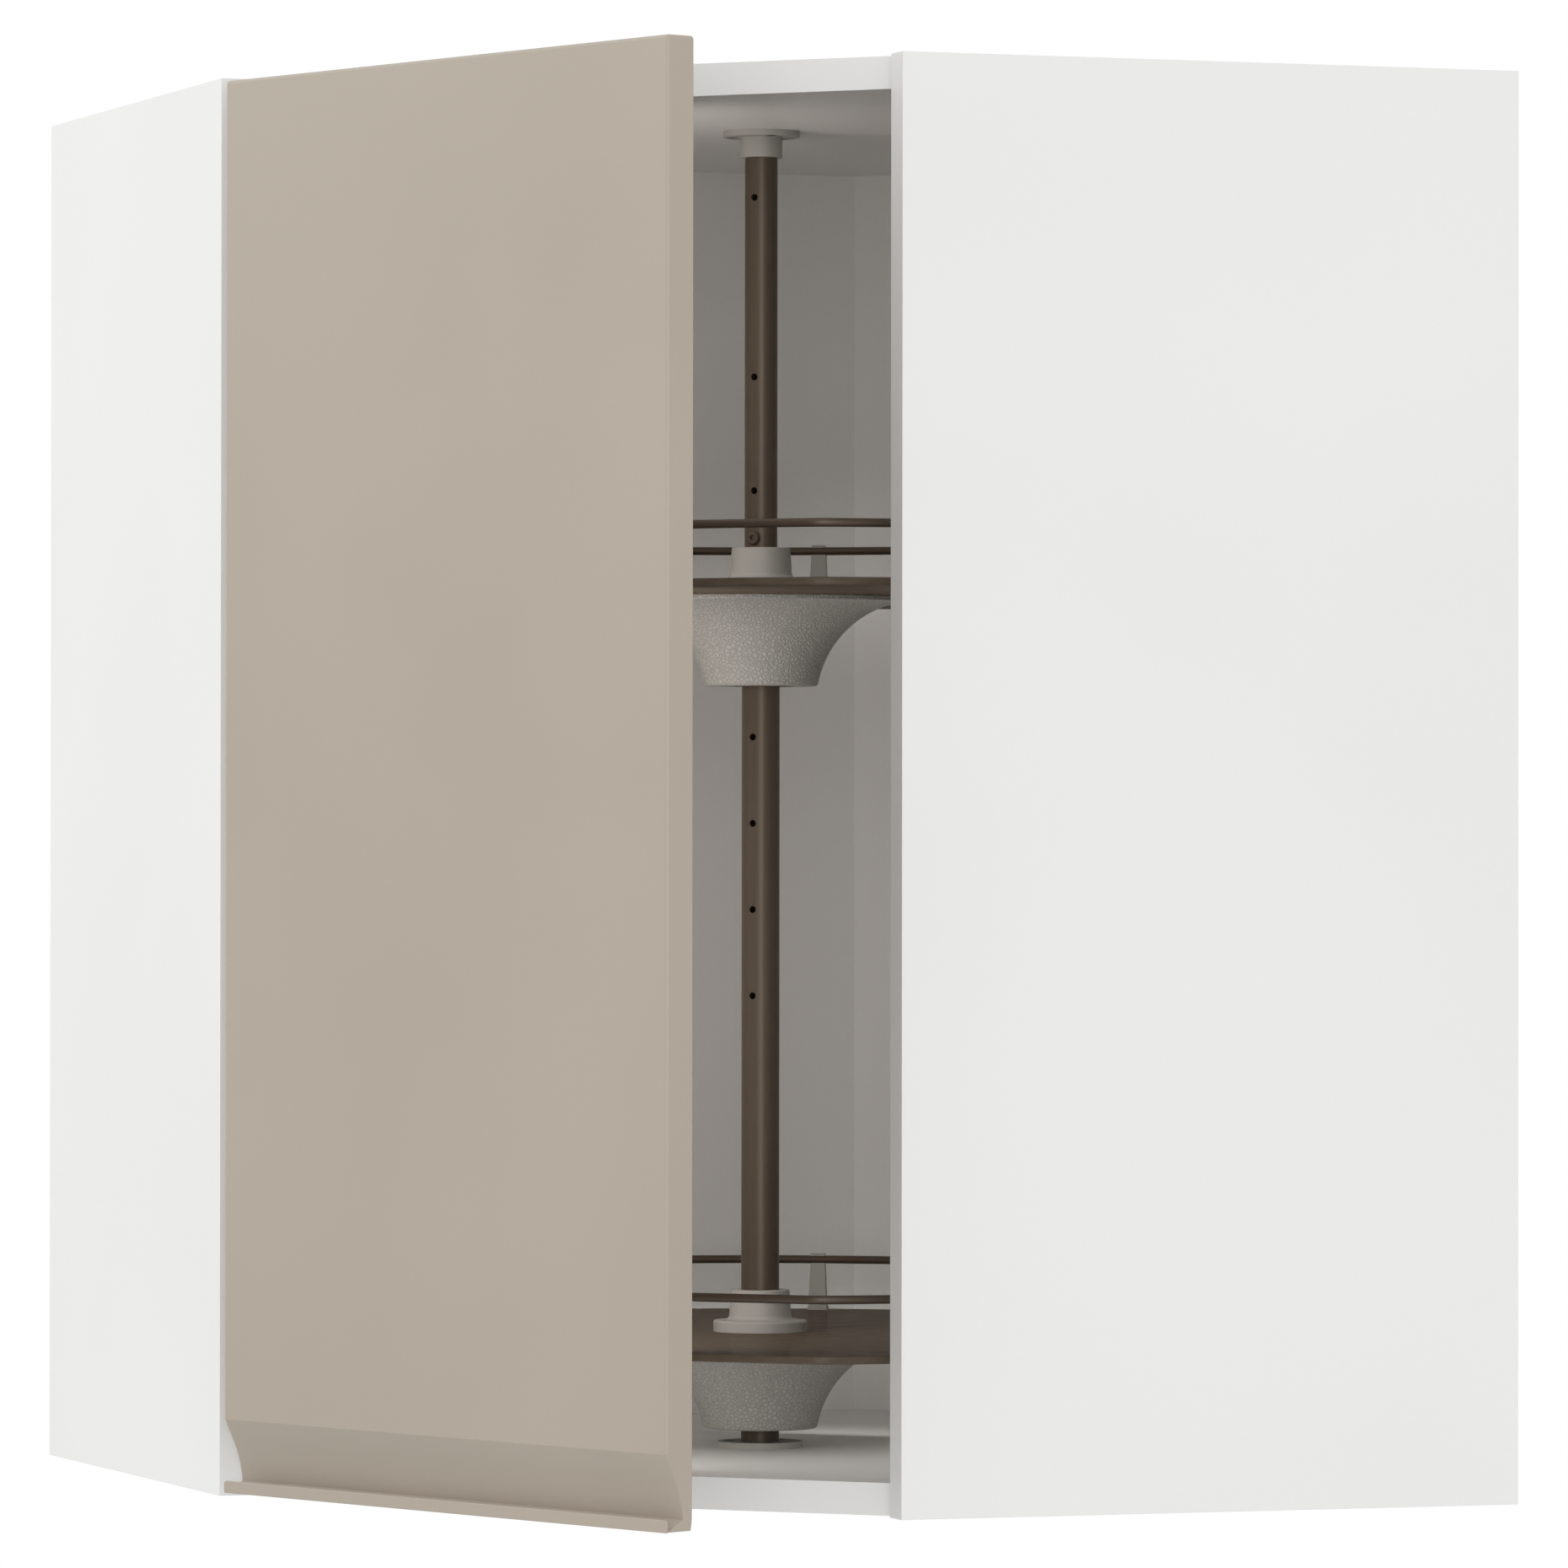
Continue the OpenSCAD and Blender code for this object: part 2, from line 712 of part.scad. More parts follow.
module bracket_disc(r, t, bore_r, screw_at) {
    difference() {
        cylinder(r = r, h = t);
        translate([0, 0, -over]) cylinder(r = bore_r, h = t + 2 * over);
        bracket_screw_places(screw_at) translate([0, 0, -over]) cylinder(r = screw_r + fit, h = t + 2 * over);
        bracket_screw_places(screw_at) translate([0, 0, t - screw_head]) cylinder(r = screw_head_r + fit, h = t);
    }
}

module pole_bottom_bracket() {
    color(GREY) translate([0, 0, floor_top]) bracket_disc(bottom_disc_r, bottom_disc_t, lower_tube_r + fit, bottom_screw_at);
}

module pole_top_bracket() {
    color(GREY) translate([0, 0, ceiling]) mirror([0, 0, 1]) {
        bracket_disc(top_disc_r, disc_t, upper_tube_r + fit, bracket_screw_at);
        translate([0, 0, disc_t]) difference() {
            cylinder(r = top_collar_r, h = top_collar);
            translate([0, 0, -over]) cylinder(r = upper_tube_r + fit, h = top_collar + 2 * over);
        }
    }
}

module bracket_screw(t) {
    translate([0, 0, t - screw_head]) rotate([0, -90, 0])
        pan_screw(screw_r, screw_grip + t - screw_head, screw_head_r, screw_head);
}

module top_bracket_screws() {
    color(STEEL) translate([0, 0, ceiling]) mirror([0, 0, 1])
        bracket_screw_places(bracket_screw_at) bracket_screw(disc_t);
}

module bottom_bracket_screws() {
    color(STEEL) translate([0, 0, floor_top])
        bracket_screw_places(bottom_screw_at) bracket_screw(bottom_disc_t);
}

// --- Carousel ---

module tray_outline(grow) {
    difference() {
        circle(r = rail_r + grow, $fn = 360);
        polygon([[0, 0], far * [cos(corner_lean), sin(corner_lean)], [far, 0],
            far * [cos(corner_lean), -sin(corner_lean)]]);
    }
    translate([0, -corner_y]) square([rail_front + grow, 2 * corner_y]);
    for (k = [-1, 1]) translate([corner_x, k * corner_y]) circle(r = rail_corner + grow);
}

module post_places() {
    for (a = post_angles, k = [-1, 1]) rotate([0, 0, 180 + k * a]) translate([rail_r, 0, 0]) children();
}

module tray() {
    difference() {
        facing_door() linear_extrude(height = tray_t) tray_outline(tray_margin);
        translate([0, 0, -over]) cylinder(r = sleeve_r + fit, h = tray_t + 2 * over);
        facing_door() post_places() {
            translate([0, 0, -over]) cylinder(r = post_screw_r + fit, h = tray_t + 2 * over);
            cylinder(r1 = post_head_r + fit, r2 = post_screw_r + fit, h = post_head);
        }
    }
}

module bend(r, from, to) {
    gap = weld_gap / r * 180 / PI;
    rotate([0, 0, from + gap]) rotate_extrude(angle = to - from - 2 * gap)
        translate([r, 0]) circle(r = wire_r);
}

module weld(r, y) {
    rod_y(r, y - weld_reach, 0, weld_r, 2 * weld_reach);
}

module rail_loop() {
    bend(rail_r, corner_lean, 360 - corner_lean);
    rod_y(rail_front, weld_gap - corner_y, 0, wire_r, 2 * (corner_y - weld_gap));
    for (k = [0, 1]) mirror([0, k, 0]) {
        translate([corner_x, corner_y, 0]) bend(rail_corner, 0, corner_lean);
        weld(rail_front, corner_y);
        rotate([0, 0, corner_lean]) weld(rail_r, 0);
    }
}

module rail() {
    facing_door() translate([0, 0, rail_up]) rail_loop();
}

module rail_posts() {
    post_up = rail_up + wire_r + post_cap - tray_t;
    facing_door() difference() {
        post_places() translate([0, 0, tray_t]) union() {
            cylinder(r1 = post_foot_r, r2 = post_top_r, h = post_up);
            cylinder(r = post_disc_r, h = post_foot);
        }
        translate([0, 0, rail_up]) rotate_extrude($fn = 360)
            translate([rail_r, 0]) circle(r = wire_r + fit, $fn = 48);
        post_places() translate([0, 0, tray_t - over]) cylinder(r = post_screw_r + fit, h = post_screw_up - tray_t + over);
    }
}

module post_screws() {
    facing_door() post_places() {
        cylinder(r = post_screw_r, h = post_screw_up - 0.3);
        cylinder(r1 = post_head_r, r2 = post_screw_r, h = post_head);
    }
}

// Half sections of the turning pieces: X is the radius, Y is the height
module flank_cut(grow) {
    translate([hub_flank_x, -hub_flank_z]) circle(r = hub_flank_r + grow, $fn = 180);
}

module hub_section() {
    translate([sleeve_r + fit, -hub_flange_t]) square([hub_flange_r - sleeve_r - fit, hub_flange_t]);
    translate([sleeve_r + fit, -boss_down]) square([boss_r - sleeve_r - fit, boss_down]);
    translate([lower_tube_r + run, -boss_down])
        square([boss_r - lower_tube_r - run, boss_down - sleeve_down - fit]);
    difference() {
        union() {
            translate([hub_mouth_r, -hub_depth]) square([edge_x - hub_mouth_r, hub_depth]);
            translate([edge_x, edge_z]) circle(r = hub_edge_r);
            difference() {
                translate([edge_x, edge_touch]) square([hub_flank_x - edge_x, -edge_touch]);
                flank_cut(0);
            }
        }
        difference() {
            translate([0, hub_wall - hub_depth])
                square([hub_flank_x, hub_depth - hub_wall - hub_flange_t]);
            flank_cut(hub_wall);
        }
    }
}

module hub() {
    rotate_extrude() hub_section();
}

module collar_section() {
    difference() {
        union() {
            translate([0, -tray_t - sleeve_down]) square([sleeve_r, tray_t + sleeve_down]);
            square([collar_foot_r - foot_round, foot_side + foot_round]);
            square([collar_foot_r, foot_side]);
            translate([collar_foot_r - foot_round, foot_side]) circle(r = foot_round);
            polygon([[0, 0], [collar_neck_r, 0], [collar_neck_r, foot_side + foot_round + neck_fillet],
                [collar_top_r, collar_up], [0, collar_up]]);
            difference() {
                translate([collar_neck_r, foot_side + foot_round]) square(neck_fillet);
                translate([collar_neck_r + neck_fillet, foot_side + foot_round + neck_fillet])
                    circle(r = neck_fillet);
            }
        }
        translate([-over, -tray_t - sleeve_down - over])
            square([lower_tube_r + run + over, far]);
    }
}

module hub_collar() {
    translate([0, 0, tray_t]) rotate_extrude() collar_section();
}

module thrust_washer() {
    translate([0, 0, -boss_down - washer_t]) difference() {
        cylinder(r = ring_r, h = washer_t);
        translate([0, 0, -over]) cylinder(r = lower_tube_r + fit, h = washer_t + 2 * over);
    }
}

module support_ring() {
    difference() {
        translate([0, 0, -boss_down - washer_t - ring_h]) difference() {
            cylinder(r = ring_r, h = ring_h);
            translate([0, 0, -over]) cylinder(r = lower_tube_r + fit, h = ring_h + 2 * over);
        }
        cross_hole(-pin_drop, tube_hole_r);
    }
}

module support_pin() {
    facing_door() rod_x(-ring_r + 0.3, 0, -pin_drop, tube_hole_r - fit, 2 * ring_r - 0.6);
}

module lower_support_ring() { color(GREY) at_level(0) support_ring(); }
module upper_support_ring() { color(GREY) at_level(1) support_ring(); }
module lower_support_pin() { color(STEEL) at_level(0) support_pin(); }
module upper_support_pin() { color(STEEL) at_level(1) support_pin(); }
module lower_thrust_washer() { color("white") at_level(0) thrust_washer(); }
module upper_thrust_washer() { color("white") at_level(1) thrust_washer(); }
module lower_tray() { color(SMOKE) at_level(0) tray(); }
module upper_tray() { color(SMOKE) at_level(1) tray(); }
module lower_rail() { color(BRONZE) at_level(0) rail(); }
module upper_rail() { color(BRONZE) at_level(1) rail(); }
module lower_rail_posts() { color(GREY) at_level(0) rail_posts(); }
module upper_rail_posts() { color(GREY) at_level(1) rail_posts(); }
module lower_post_screws() { color(STEEL) at_level(0) post_screws(); }
module upper_post_screws() { color(STEEL) at_level(1) post_screws(); }
module lower_hub() { color(GREY) at_level(0) hub(); }
module upper_hub() { color(GREY) at_level(1) hub(); }
module lower_hub_collar() { color(GREY) at_level(0) hub_collar(); }
module upper_hub_collar() { color(GREY) at_level(1) hub_collar(); }

left_side_panel();
right_side_panel();
top_panel();
bottom_panel();
left_back_panel();
right_back_panel();
corner_back_panel();
carcass_dowels();
cam_locks();
cam_bolts();
hanging_brackets();
hanging_bracket_screws();
hinge_plates();
hinge_plate_screws();
hinge_arms();
hinge_arm_screws();
hinge_pins();
hinge_cups();
hinge_cup_screws();
door_panel();
pole_upper_tube();
pole_lower_tube();
pole_lock_screw();
pole_top_bracket();
pole_bottom_bracket();
top_bracket_screws();
bottom_bracket_screws();
upper_support_ring();
upper_support_pin();
upper_thrust_washer();
upper_tray();
upper_rail();
upper_rail_posts();
upper_post_screws();
upper_hub();
upper_hub_collar();
lower_support_ring();
lower_support_pin();
lower_thrust_washer();
lower_tray();
lower_rail();
lower_rail_posts();
lower_post_screws();
lower_hub();
lower_hub_collar();
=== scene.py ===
# %% [markdown]
# # A diagonal corner cabinet with a two-tray carousel
#
# The cabinet is a wall unit for a room's corner. Two end panels, a five-sided top and bottom and
# thin backs make the box, a lacquered door closes the diagonal front, and two smoky trays turn on
# a bronze pole behind it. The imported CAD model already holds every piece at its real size, so this
# lesson only adds what CAD leaves out: soft edges, smooth curves, and the finish of each surface.

# %% The frame and the sizes that everything else reads
import json
import math
import bpy
import numpy as np
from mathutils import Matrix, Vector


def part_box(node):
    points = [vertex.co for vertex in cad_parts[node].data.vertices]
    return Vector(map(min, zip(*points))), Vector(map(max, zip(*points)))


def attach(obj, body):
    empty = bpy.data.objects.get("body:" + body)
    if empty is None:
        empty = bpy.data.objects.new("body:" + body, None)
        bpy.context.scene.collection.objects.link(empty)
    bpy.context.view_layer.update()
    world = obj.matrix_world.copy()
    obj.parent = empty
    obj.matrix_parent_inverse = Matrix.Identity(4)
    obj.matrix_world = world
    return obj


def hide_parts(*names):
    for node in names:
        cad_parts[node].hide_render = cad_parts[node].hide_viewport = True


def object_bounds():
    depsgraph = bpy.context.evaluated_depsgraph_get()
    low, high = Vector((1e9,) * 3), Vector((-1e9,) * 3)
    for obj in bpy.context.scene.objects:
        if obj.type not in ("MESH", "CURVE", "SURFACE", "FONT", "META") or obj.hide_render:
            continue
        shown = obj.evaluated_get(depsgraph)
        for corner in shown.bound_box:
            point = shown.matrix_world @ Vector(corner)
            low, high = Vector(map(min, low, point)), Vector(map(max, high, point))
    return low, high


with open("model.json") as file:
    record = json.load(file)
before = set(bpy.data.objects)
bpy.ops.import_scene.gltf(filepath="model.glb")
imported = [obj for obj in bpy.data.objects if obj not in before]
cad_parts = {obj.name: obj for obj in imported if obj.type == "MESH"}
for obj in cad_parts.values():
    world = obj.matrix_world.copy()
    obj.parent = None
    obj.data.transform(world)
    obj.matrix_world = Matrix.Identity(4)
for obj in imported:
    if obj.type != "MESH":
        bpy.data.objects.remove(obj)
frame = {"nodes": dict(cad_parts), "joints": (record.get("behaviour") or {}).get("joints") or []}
nodes = frame["nodes"]
cad_low, cad_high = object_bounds()
mm = 0.001
print("CAD box:", [round(v, 4) for v in (*cad_low, *cad_high)])


def span(node):
    """The lowest and highest corner of a CAD node, as two arrays in metres."""
    low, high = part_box(node)
    return np.array(low), np.array(high)


# %% [markdown]
# ## Camera, room and light
#
# A long lens from five metres away keeps the uprights almost parallel, as in a catalogue picture.
# The room is plain: a pale floor far below, because the cabinet hangs on a wall, and a white world.
# The world is white to the camera and to reflections, so metal and gloss show it. It lights the
# cabinet more softly, and two wide lamps add a little direction, so that a colour renders about
# as it is written. A box that is open on one side stays dark inside, so three weak lamps stand
# in it: one behind the door and two under the lower tray. Reflections don't show them.

# %% The camera
lens = bpy.data.cameras.new("long_lens")
lens.sensor_width = 36.0
lens.lens = 209.4
lens.clip_end = 50.0
camera = bpy.data.objects.new("camera", lens)
camera.location = (-1.77324, -4.99168, 0.36672)
camera.rotation_euler = [math.radians(a) for a in (90.3908, -0.0584, -19.7039)]
bpy.context.scene.collection.objects.link(camera)
bpy.context.scene.camera = camera
bpy.context.scene.view_settings.view_transform = "Standard"
print("camera at", tuple(round(v, 3) for v in camera.location))

# %% Colours are written as a picture editor shows them
def screen(red, green, blue):
    """Screen values from 0 to 255 as light: c / 12.92 where dark, elsewhere
    ((c + 0.055) / 1.055) ** 2.4."""
    c = np.array([red, green, blue]) / 255.0
    light = np.where(c <= 0.04045, c / 12.92, ((c + 0.055) / 1.055) ** 2.4)
    return (*light.tolist(), 1.0)


print("a grey of 128 is", round(screen(128, 128, 128)[0], 3), "as light")

# %% [markdown]
# ## Writing materials as algebra
#
# A material is a small network of nodes. Wiring it by hand hides the idea, so the class below wraps
# one socket and lets Python's own operators add the Math nodes: `1 - mask` reads as it works.
# Every other node comes from one method, which takes its type, its settings and its sockets.

# %% One class for a socket
class Value:
    """A number that changes over a surface. Adding, scaling or comparing it adds a Math node."""

    def __init__(self, finish, socket):
        self.finish, self.socket = finish, socket

    def _math(self, operation, *values):
        """One Math node with these values, of which at least one is a socket."""
        return self.finish.node("ShaderNodeMath", {"operation": operation}, dict(enumerate(values)))

    def __add__(self, other):
        return self._math("ADD", self, other)

    def __sub__(self, other):
        return self._math("SUBTRACT", self, other)

    def __rsub__(self, other):
        return self._math("SUBTRACT", other, self)

    def __mul__(self, other):
        return self._math("MULTIPLY", self, other)

    __radd__, __rmul__ = __add__, __mul__

    def most(self, other):
        """The larger of the two at each place."""
        return self._math("MAXIMUM", self, other)

    def steps(self, start, end):
        """Rises smoothly from 0 at start to 1 at end."""
        settings = {"interpolation_type": "SMOOTHSTEP"}
        sockets = {"Value": self, "From Min": start, "From Max": end}
        return self.finish.node("ShaderNodeMapRange", settings, sockets)


# %% One class for a finish
class Finish:
    """A material with one Principled shader. Its constants are set on the shader's own sockets."""

    def __init__(self, name, colour, roughness, **constants):
        self.material = bpy.data.materials.new(name)
        self.material.use_nodes = True
        self.tree = self.material.node_tree
        self.shader = self.tree.nodes["Principled BSDF"]
        constants = {"Base Color": colour, "Roughness": roughness, **constants}
        for socket, value in constants.items():
            self.shader.inputs[socket].default_value = value
        self.place = self.node("ShaderNodeTexCoord", output="Object")

    def node(self, kind, settings=None, sockets=None, output=0):
        """Adds a node of any kind: its settings first, then the values or links of its sockets."""
        made = self.tree.nodes.new(kind)
        for name, value in (settings or {}).items():
            setattr(made, name, value)
        for name, value in (sockets or {}).items():
            if isinstance(value, Value):
                self.tree.links.new(value.socket, made.inputs[name])
            else:
                made.inputs[name].default_value = value
        return Value(self, made.outputs[output])

    def noise(self, size, detail=3.0, stretch=(1, 1, 1)):
        """Cloudy noise about 0.5, whose patches are about size metres wide."""
        spread = [s / size for s in stretch]
        place = self.node("ShaderNodeMapping", sockets={"Vector": self.place, "Scale": spread})
        sockets = {"Vector": place, "Scale": 1.0, "Detail": detail}
        return self.node("ShaderNodeTexNoise", sockets=sockets)

    def mix(self, share, first, second):
        """Mixes two colours by a share from 0 to 1."""
        sockets = {0: share, 6: first, 7: second}
        return self.node("ShaderNodeMix", {"data_type": "RGBA"}, sockets, output=2)

    def set(self, socket, value):
        """Lets a value drive one of the shader's sockets."""
        self.tree.links.new(value.socket, self.shader.inputs[socket])

    def bump(self, height, depth, strength=1.0, rounding=0.0):
        """Lifts the surface by height times depth metres, and rounds edges by rounding metres."""
        sockets = {"Height": height, "Distance": depth, "Strength": strength}
        if rounding:
            sockets["Normal"] = self.node("ShaderNodeBevel", {"samples": 4}, {"Radius": rounding})
        self.set("Normal", self.node("ShaderNodeBump", sockets=sockets))

    def done(self):
        """Prints the finish's size and gives its material."""
        print("finish:", self.material.name, "with", len(self.tree.nodes), "nodes")
        return self.material


# %% The world: white where it is seen, softer as light
class Room(Finish):
    """The world's shader, written with the same algebra."""

    def __init__(self, world):
        self.tree = world.node_tree


world = bpy.data.worlds.new("white_studio")
world.use_nodes = True
bpy.context.scene.world = world
room = Room(world)
seen = room.node("ShaderNodeLightPath")
rays = {out.name: Value(room, out) for out in seen.socket.node.outputs}
shown = rays["Is Camera Ray"].most(rays["Is Glossy Ray"]).most(rays["Is Transmission Ray"])
fill_level = 0.87
sky = world.node_tree.nodes["Background"]
sky.inputs["Color"].default_value = (1, 1, 1, 1)
world.node_tree.links.new((shown * (1 - fill_level) + fill_level).socket, sky.inputs["Strength"])
print("world: 1 where it is seen,", fill_level, "as light")


# %% The lamps: two wide ones in the room, three weak ones in the cabinet
def lamp(name, place, aim, size, watts, tint=(1, 1, 1), mirrored=True):
    """A soft lamp, size metres wide and high, that faces its aim and isn't seen itself."""
    light = bpy.data.lights.new(name, "AREA")
    light.shape, light.energy = "RECTANGLE", watts
    light.size, light.size_y = size
    light.color = tint
    holder = bpy.data.objects.new(name, light)
    holder.location = place
    x, y, z = np.subtract(aim, place)
    holder.rotation_euler = (math.atan2(math.hypot(x, y), -z), 0, math.atan2(-x, y))
    holder.visible_camera, holder.visible_glossy = False, mirrored
    bpy.context.scene.collection.objects.link(holder)


middle = ((cad_low + cad_high) / 2)[:]
lamp("camera_side_lamp", (-1.9, -4.6, 0.6), middle, (2.2, 2.2), 37)
lamp("left_lamp", (-2.6, 1.6, 2.2), middle, (2.5, 2.5), 19)
warm, mild = (1.0, 0.93, 0.88), (1.0, 0.98, 0.95)
behind_door, far_wall = (-0.18, -0.09, 0.3825), (0.25, 0.20, 0.3825)
lamp("shelf_lamp", behind_door, far_wall, (0.20, 0.695), 0.93, warm, mirrored=False)
under_tray, cabinet_floor = (0, 0, 0.079), (0.001, 0.001, 0)
lamp("under_tray_lamp", under_tray, cabinet_floor, (0.44, 0.44), 0.29, mild, mirrored=False)
behind_hub, corner_back = (0.078, 0.078, 0.066), (0.3, 0.3, 0.066)
lamp("behind_hub_lamp", behind_hub, corner_back, (0.16, 0.03), 0.045, mild, mirrored=False)
print("lamps:", len(bpy.data.lights))

# %% A pale floor far below, which looks nearly white but still takes the cabinet's shadow
floor_mesh = bpy.data.meshes.new("floor")
reach, hang = 6.0, 1.4
corners = [(reach * x, reach * y, -hang) for x, y in ((-1, -1), (1, -1), (1, 1), (-1, 1))]
floor_mesh.from_pydata(corners, [], [(0, 1, 2, 3)])
floor = bpy.data.objects.new("floor", floor_mesh)
bpy.context.scene.collection.objects.link(floor)
pale = Finish("pale_floor", (0.7, 0.7, 0.7, 1), 0.9)
glow = pale.node("ShaderNodeEmission", sockets={"Color": (1, 1, 1, 1), "Strength": 1.0})
path = pale.node("ShaderNodeLightPath", output="Is Camera Ray")
matt = Value(pale, pale.shader.outputs[0])
blend = pale.node("ShaderNodeMixShader", sockets={0: path * 0.92, 1: matt, 2: glow})
pale.tree.links.new(blend.socket, pale.tree.nodes["Material Output"].inputs["Surface"])
floor_mesh.materials.append(pale.material)
print("floor", hang, "m below the cabinet")

# %% [markdown]
# ## The finishes
#
# Each surface of the real cabinet has its own make-up. The boards are chipboard under white
# melamine, pressed with a faint pearl texture, and the door is lacquered in a warm grey beige.
# The hubs are moulded with a leather grain, which hides scratches, and painted shade darkens its
# creases. The trays are smoky plastic that lets a little light through. A bump as fine as the real
# grain would vanish at this distance, so each pattern also changes the colour or the roughness a
# little. All patterns read Object coordinates, because every piece keeps its place in its mesh.

# %% White boards: melamine with a pearl texture and softly rounded edges
def melamine():
    """Broad clouds tint the white, and a pearl pattern of 1.1 mm lifts it under a varied gloss."""
    white = Finish("white_melamine", (0.86, 0.86, 0.85, 1), 0.42)
    clouds = white.noise(0.30, 2.0).steps(0.3, 0.7)
    white.set("Base Color", white.mix(clouds, (0.85, 0.85, 0.84, 1), (0.87, 0.87, 0.86, 1)))
    pearl = white.noise(0.0011, 2.0)
    white.set("Roughness", white.noise(0.004, 3.0) * 0.10 + 0.37)
    white.bump(pearl, 0.00006, 0.35, rounding=0.0004)
    return white.done()


board_paint = melamine()

# %% The thin backs: lacquered fibreboard, flatter and a trace greyer
def fibreboard():
    """One noise of upright fibres drives the colour, the roughness and the bump together."""
    back = Finish("white_fibreboard", (0.80, 0.80, 0.79, 1), 0.5)
    fibres = back.noise(0.0016, 5.0, stretch=(1, 1, 0.5))
    back.set("Base Color", back.mix(fibres, (0.79, 0.79, 0.78, 1), (0.82, 0.82, 0.81, 1)))
    back.set("Roughness", fibres * 0.12 + 0.44)
    back.bump(fibres, 0.00005, 0.3)
    return back.done()


back_paint = fibreboard()

# %% Beige lacquer: smooth, with the faint orange peel of a sprayed coat
def lacquer():
    """Broad clouds shift the colour by a trace, and the orange peel is a noise of 2.2 mm."""
    beige = Finish("beige_lacquer", screen(176, 165, 151), 0.36)
    clouds = beige.noise(0.22, 2.0).steps(0.3, 0.7)
    beige.set("Base Color", beige.mix(clouds, screen(174, 163, 149), screen(177, 166, 152)))
    peel = beige.noise(0.0022, 2.0)
    beige.set("Roughness", peel * 0.08 + 0.34)
    beige.bump(peel, 0.00004, 0.35)
    return beige.done()


door_paint = lacquer()

# %% Leather grain: cells with creases between them, over softer wrinkles, with painted shade in the creases
def leather_grain(name, low, high, depth):
    """Light plastic whose height is the distance to the nearest cell border, plus fine noise.
    Its colour follows that height, so the creases get painted shade.
    """
    grey = Finish(name, low, 0.52)
    warp = grey.noise(0.003, 3.0)
    sockets = {0: warp * 0.0012, 1: warp * -0.0012, 2: warp * 0.0008}
    shift = grey.node("ShaderNodeCombineXYZ", sockets=sockets)
    bent = grey.node("ShaderNodeVectorMath", {"operation": "ADD"}, {0: grey.place, 1: shift})
    sockets = {"Vector": bent, "Scale": 430.0}
    cells = grey.node("ShaderNodeTexVoronoi", {"feature": "DISTANCE_TO_EDGE"}, sockets)
    crease = cells.steps(0.0, 0.28)
    fine = grey.noise(0.0007, 3.0)
    height = crease * 0.75 + fine * 0.25
    # Painted shade: the creases take the darker colour and the cell tops take the lighter one.
    grey.set("Base Color", grey.mix(height.steps(0.15, 0.75), low, high))
    grey.set("Roughness", 0.62 - crease * 0.12)
    grey.bump(height, depth, 0.8)
    return grey.done()


# The first grey is painted shade for the grain's creases, and the second is the colour of the cell
# tops.
hub_crease_shade, hub_cell_top = screen(156, 155, 151), screen(176, 175, 171)
hub_paint = leather_grain("grained_grey_plastic", hub_crease_shade, hub_cell_top, 0.00045)

# %% Plain moulded plastic, light grey and white
def shade(colour, share):
    """The same colour with a share of its light."""
    return (*(share * c for c in colour[:3]), 1.0)


def moulded(name, colour, roughness=0.45):
    """A fine flow pattern drives roughness and bump, and soft clouds darken by up to 4%."""
    plastic = Finish(name, colour, roughness)
    flow = plastic.noise(0.0015, 3.0)
    plastic.set("Roughness", flow * 0.14 + roughness - 0.07)
    plastic.set("Base Color", plastic.mix(plastic.noise(0.02), colour, shade(colour, 0.96)))
    plastic.bump(flow, 0.00004, 0.4, rounding=0.0003)
    return plastic.done()


grey_paint = moulded("light_grey_plastic", screen(172, 170, 165))
washer_paint = moulded("white_plastic", screen(226, 226, 223), 0.35)

# %% Smoky plastic: dark brown under a thin gloss, letting a little light through
def smoky():
    """Flat streaks in the colour, clouds in the roughness and the coat, and alpha just under 1."""
    gloss = {"Specular IOR Level": 0.0, "Coat Weight": 0.16, "Coat Roughness": 0.12}
    smoke = Finish("smoky_plastic", screen(104, 93, 81), 0.5, **gloss)
    streaks = smoke.noise(0.012, 3.0, stretch=(1, 1, 4)).steps(0.3, 0.7)
    smoke.set("Base Color", smoke.mix(streaks, screen(100, 89, 77), screen(108, 96, 84)))
    smoke.set("Roughness", smoke.noise(0.004) * 0.16 + 0.42)
    smoke.set("Coat Weight", smoke.noise(0.03) * 0.08 + 0.12)
    smoke.set("Alpha", smoke.noise(0.05) * 0.04 + 0.93)
    return smoke.done()


tray_paint = smoky()

# %% Bronze: half metal, half lacquer, with the fine lengthwise lines of a drawn tube
def bronze(name, along=(1, 1, 0.02)):
    """Lines of 0.6 mm, drawn out fifty times on a tube, drive colour, roughness and bump."""
    tube = Finish(name, screen(98, 87, 75), 0.42, **{"Metallic": 0.45})
    drawn = tube.noise(0.0006, 2.0, stretch=along)
    tube.set("Base Color", tube.mix(drawn, screen(91, 80, 69), screen(105, 94, 82)))
    tube.set("Roughness", drawn * 0.12 + 0.36)
    tube.bump(drawn, 0.00001, 0.3)
    return tube.done()


tube_paint = bronze("bronze_tube")
wire_paint = bronze("bronze_wire", along=(1, 1, 1))

# %% Nickel plate for hinges and most screws, zinc for the cams, black zinc for the brackets' screws
def plated(name, colour, roughness):
    """Brushed noise drives roughness and bump, over a colour that darkens by up to 12%."""
    metal = Finish(name, colour, roughness, **{"Metallic": 1.0})
    brushed = metal.noise(0.0008, 4.0, stretch=(1, 1, 0.15))
    metal.set("Roughness", brushed * 0.14 + roughness - 0.07)
    metal.set("Base Color", metal.mix(metal.noise(0.006), colour, shade(colour, 0.88)))
    metal.bump(brushed, 0.00002, 0.3, rounding=0.0003)
    return metal.done()


nickel_paint = plated("nickel_plate", screen(196, 194, 190), 0.28)
zinc_paint = plated("cast_zinc", screen(172, 173, 175), 0.42)
black_paint = plated("black_zinc", screen(46, 44, 42), 0.45)

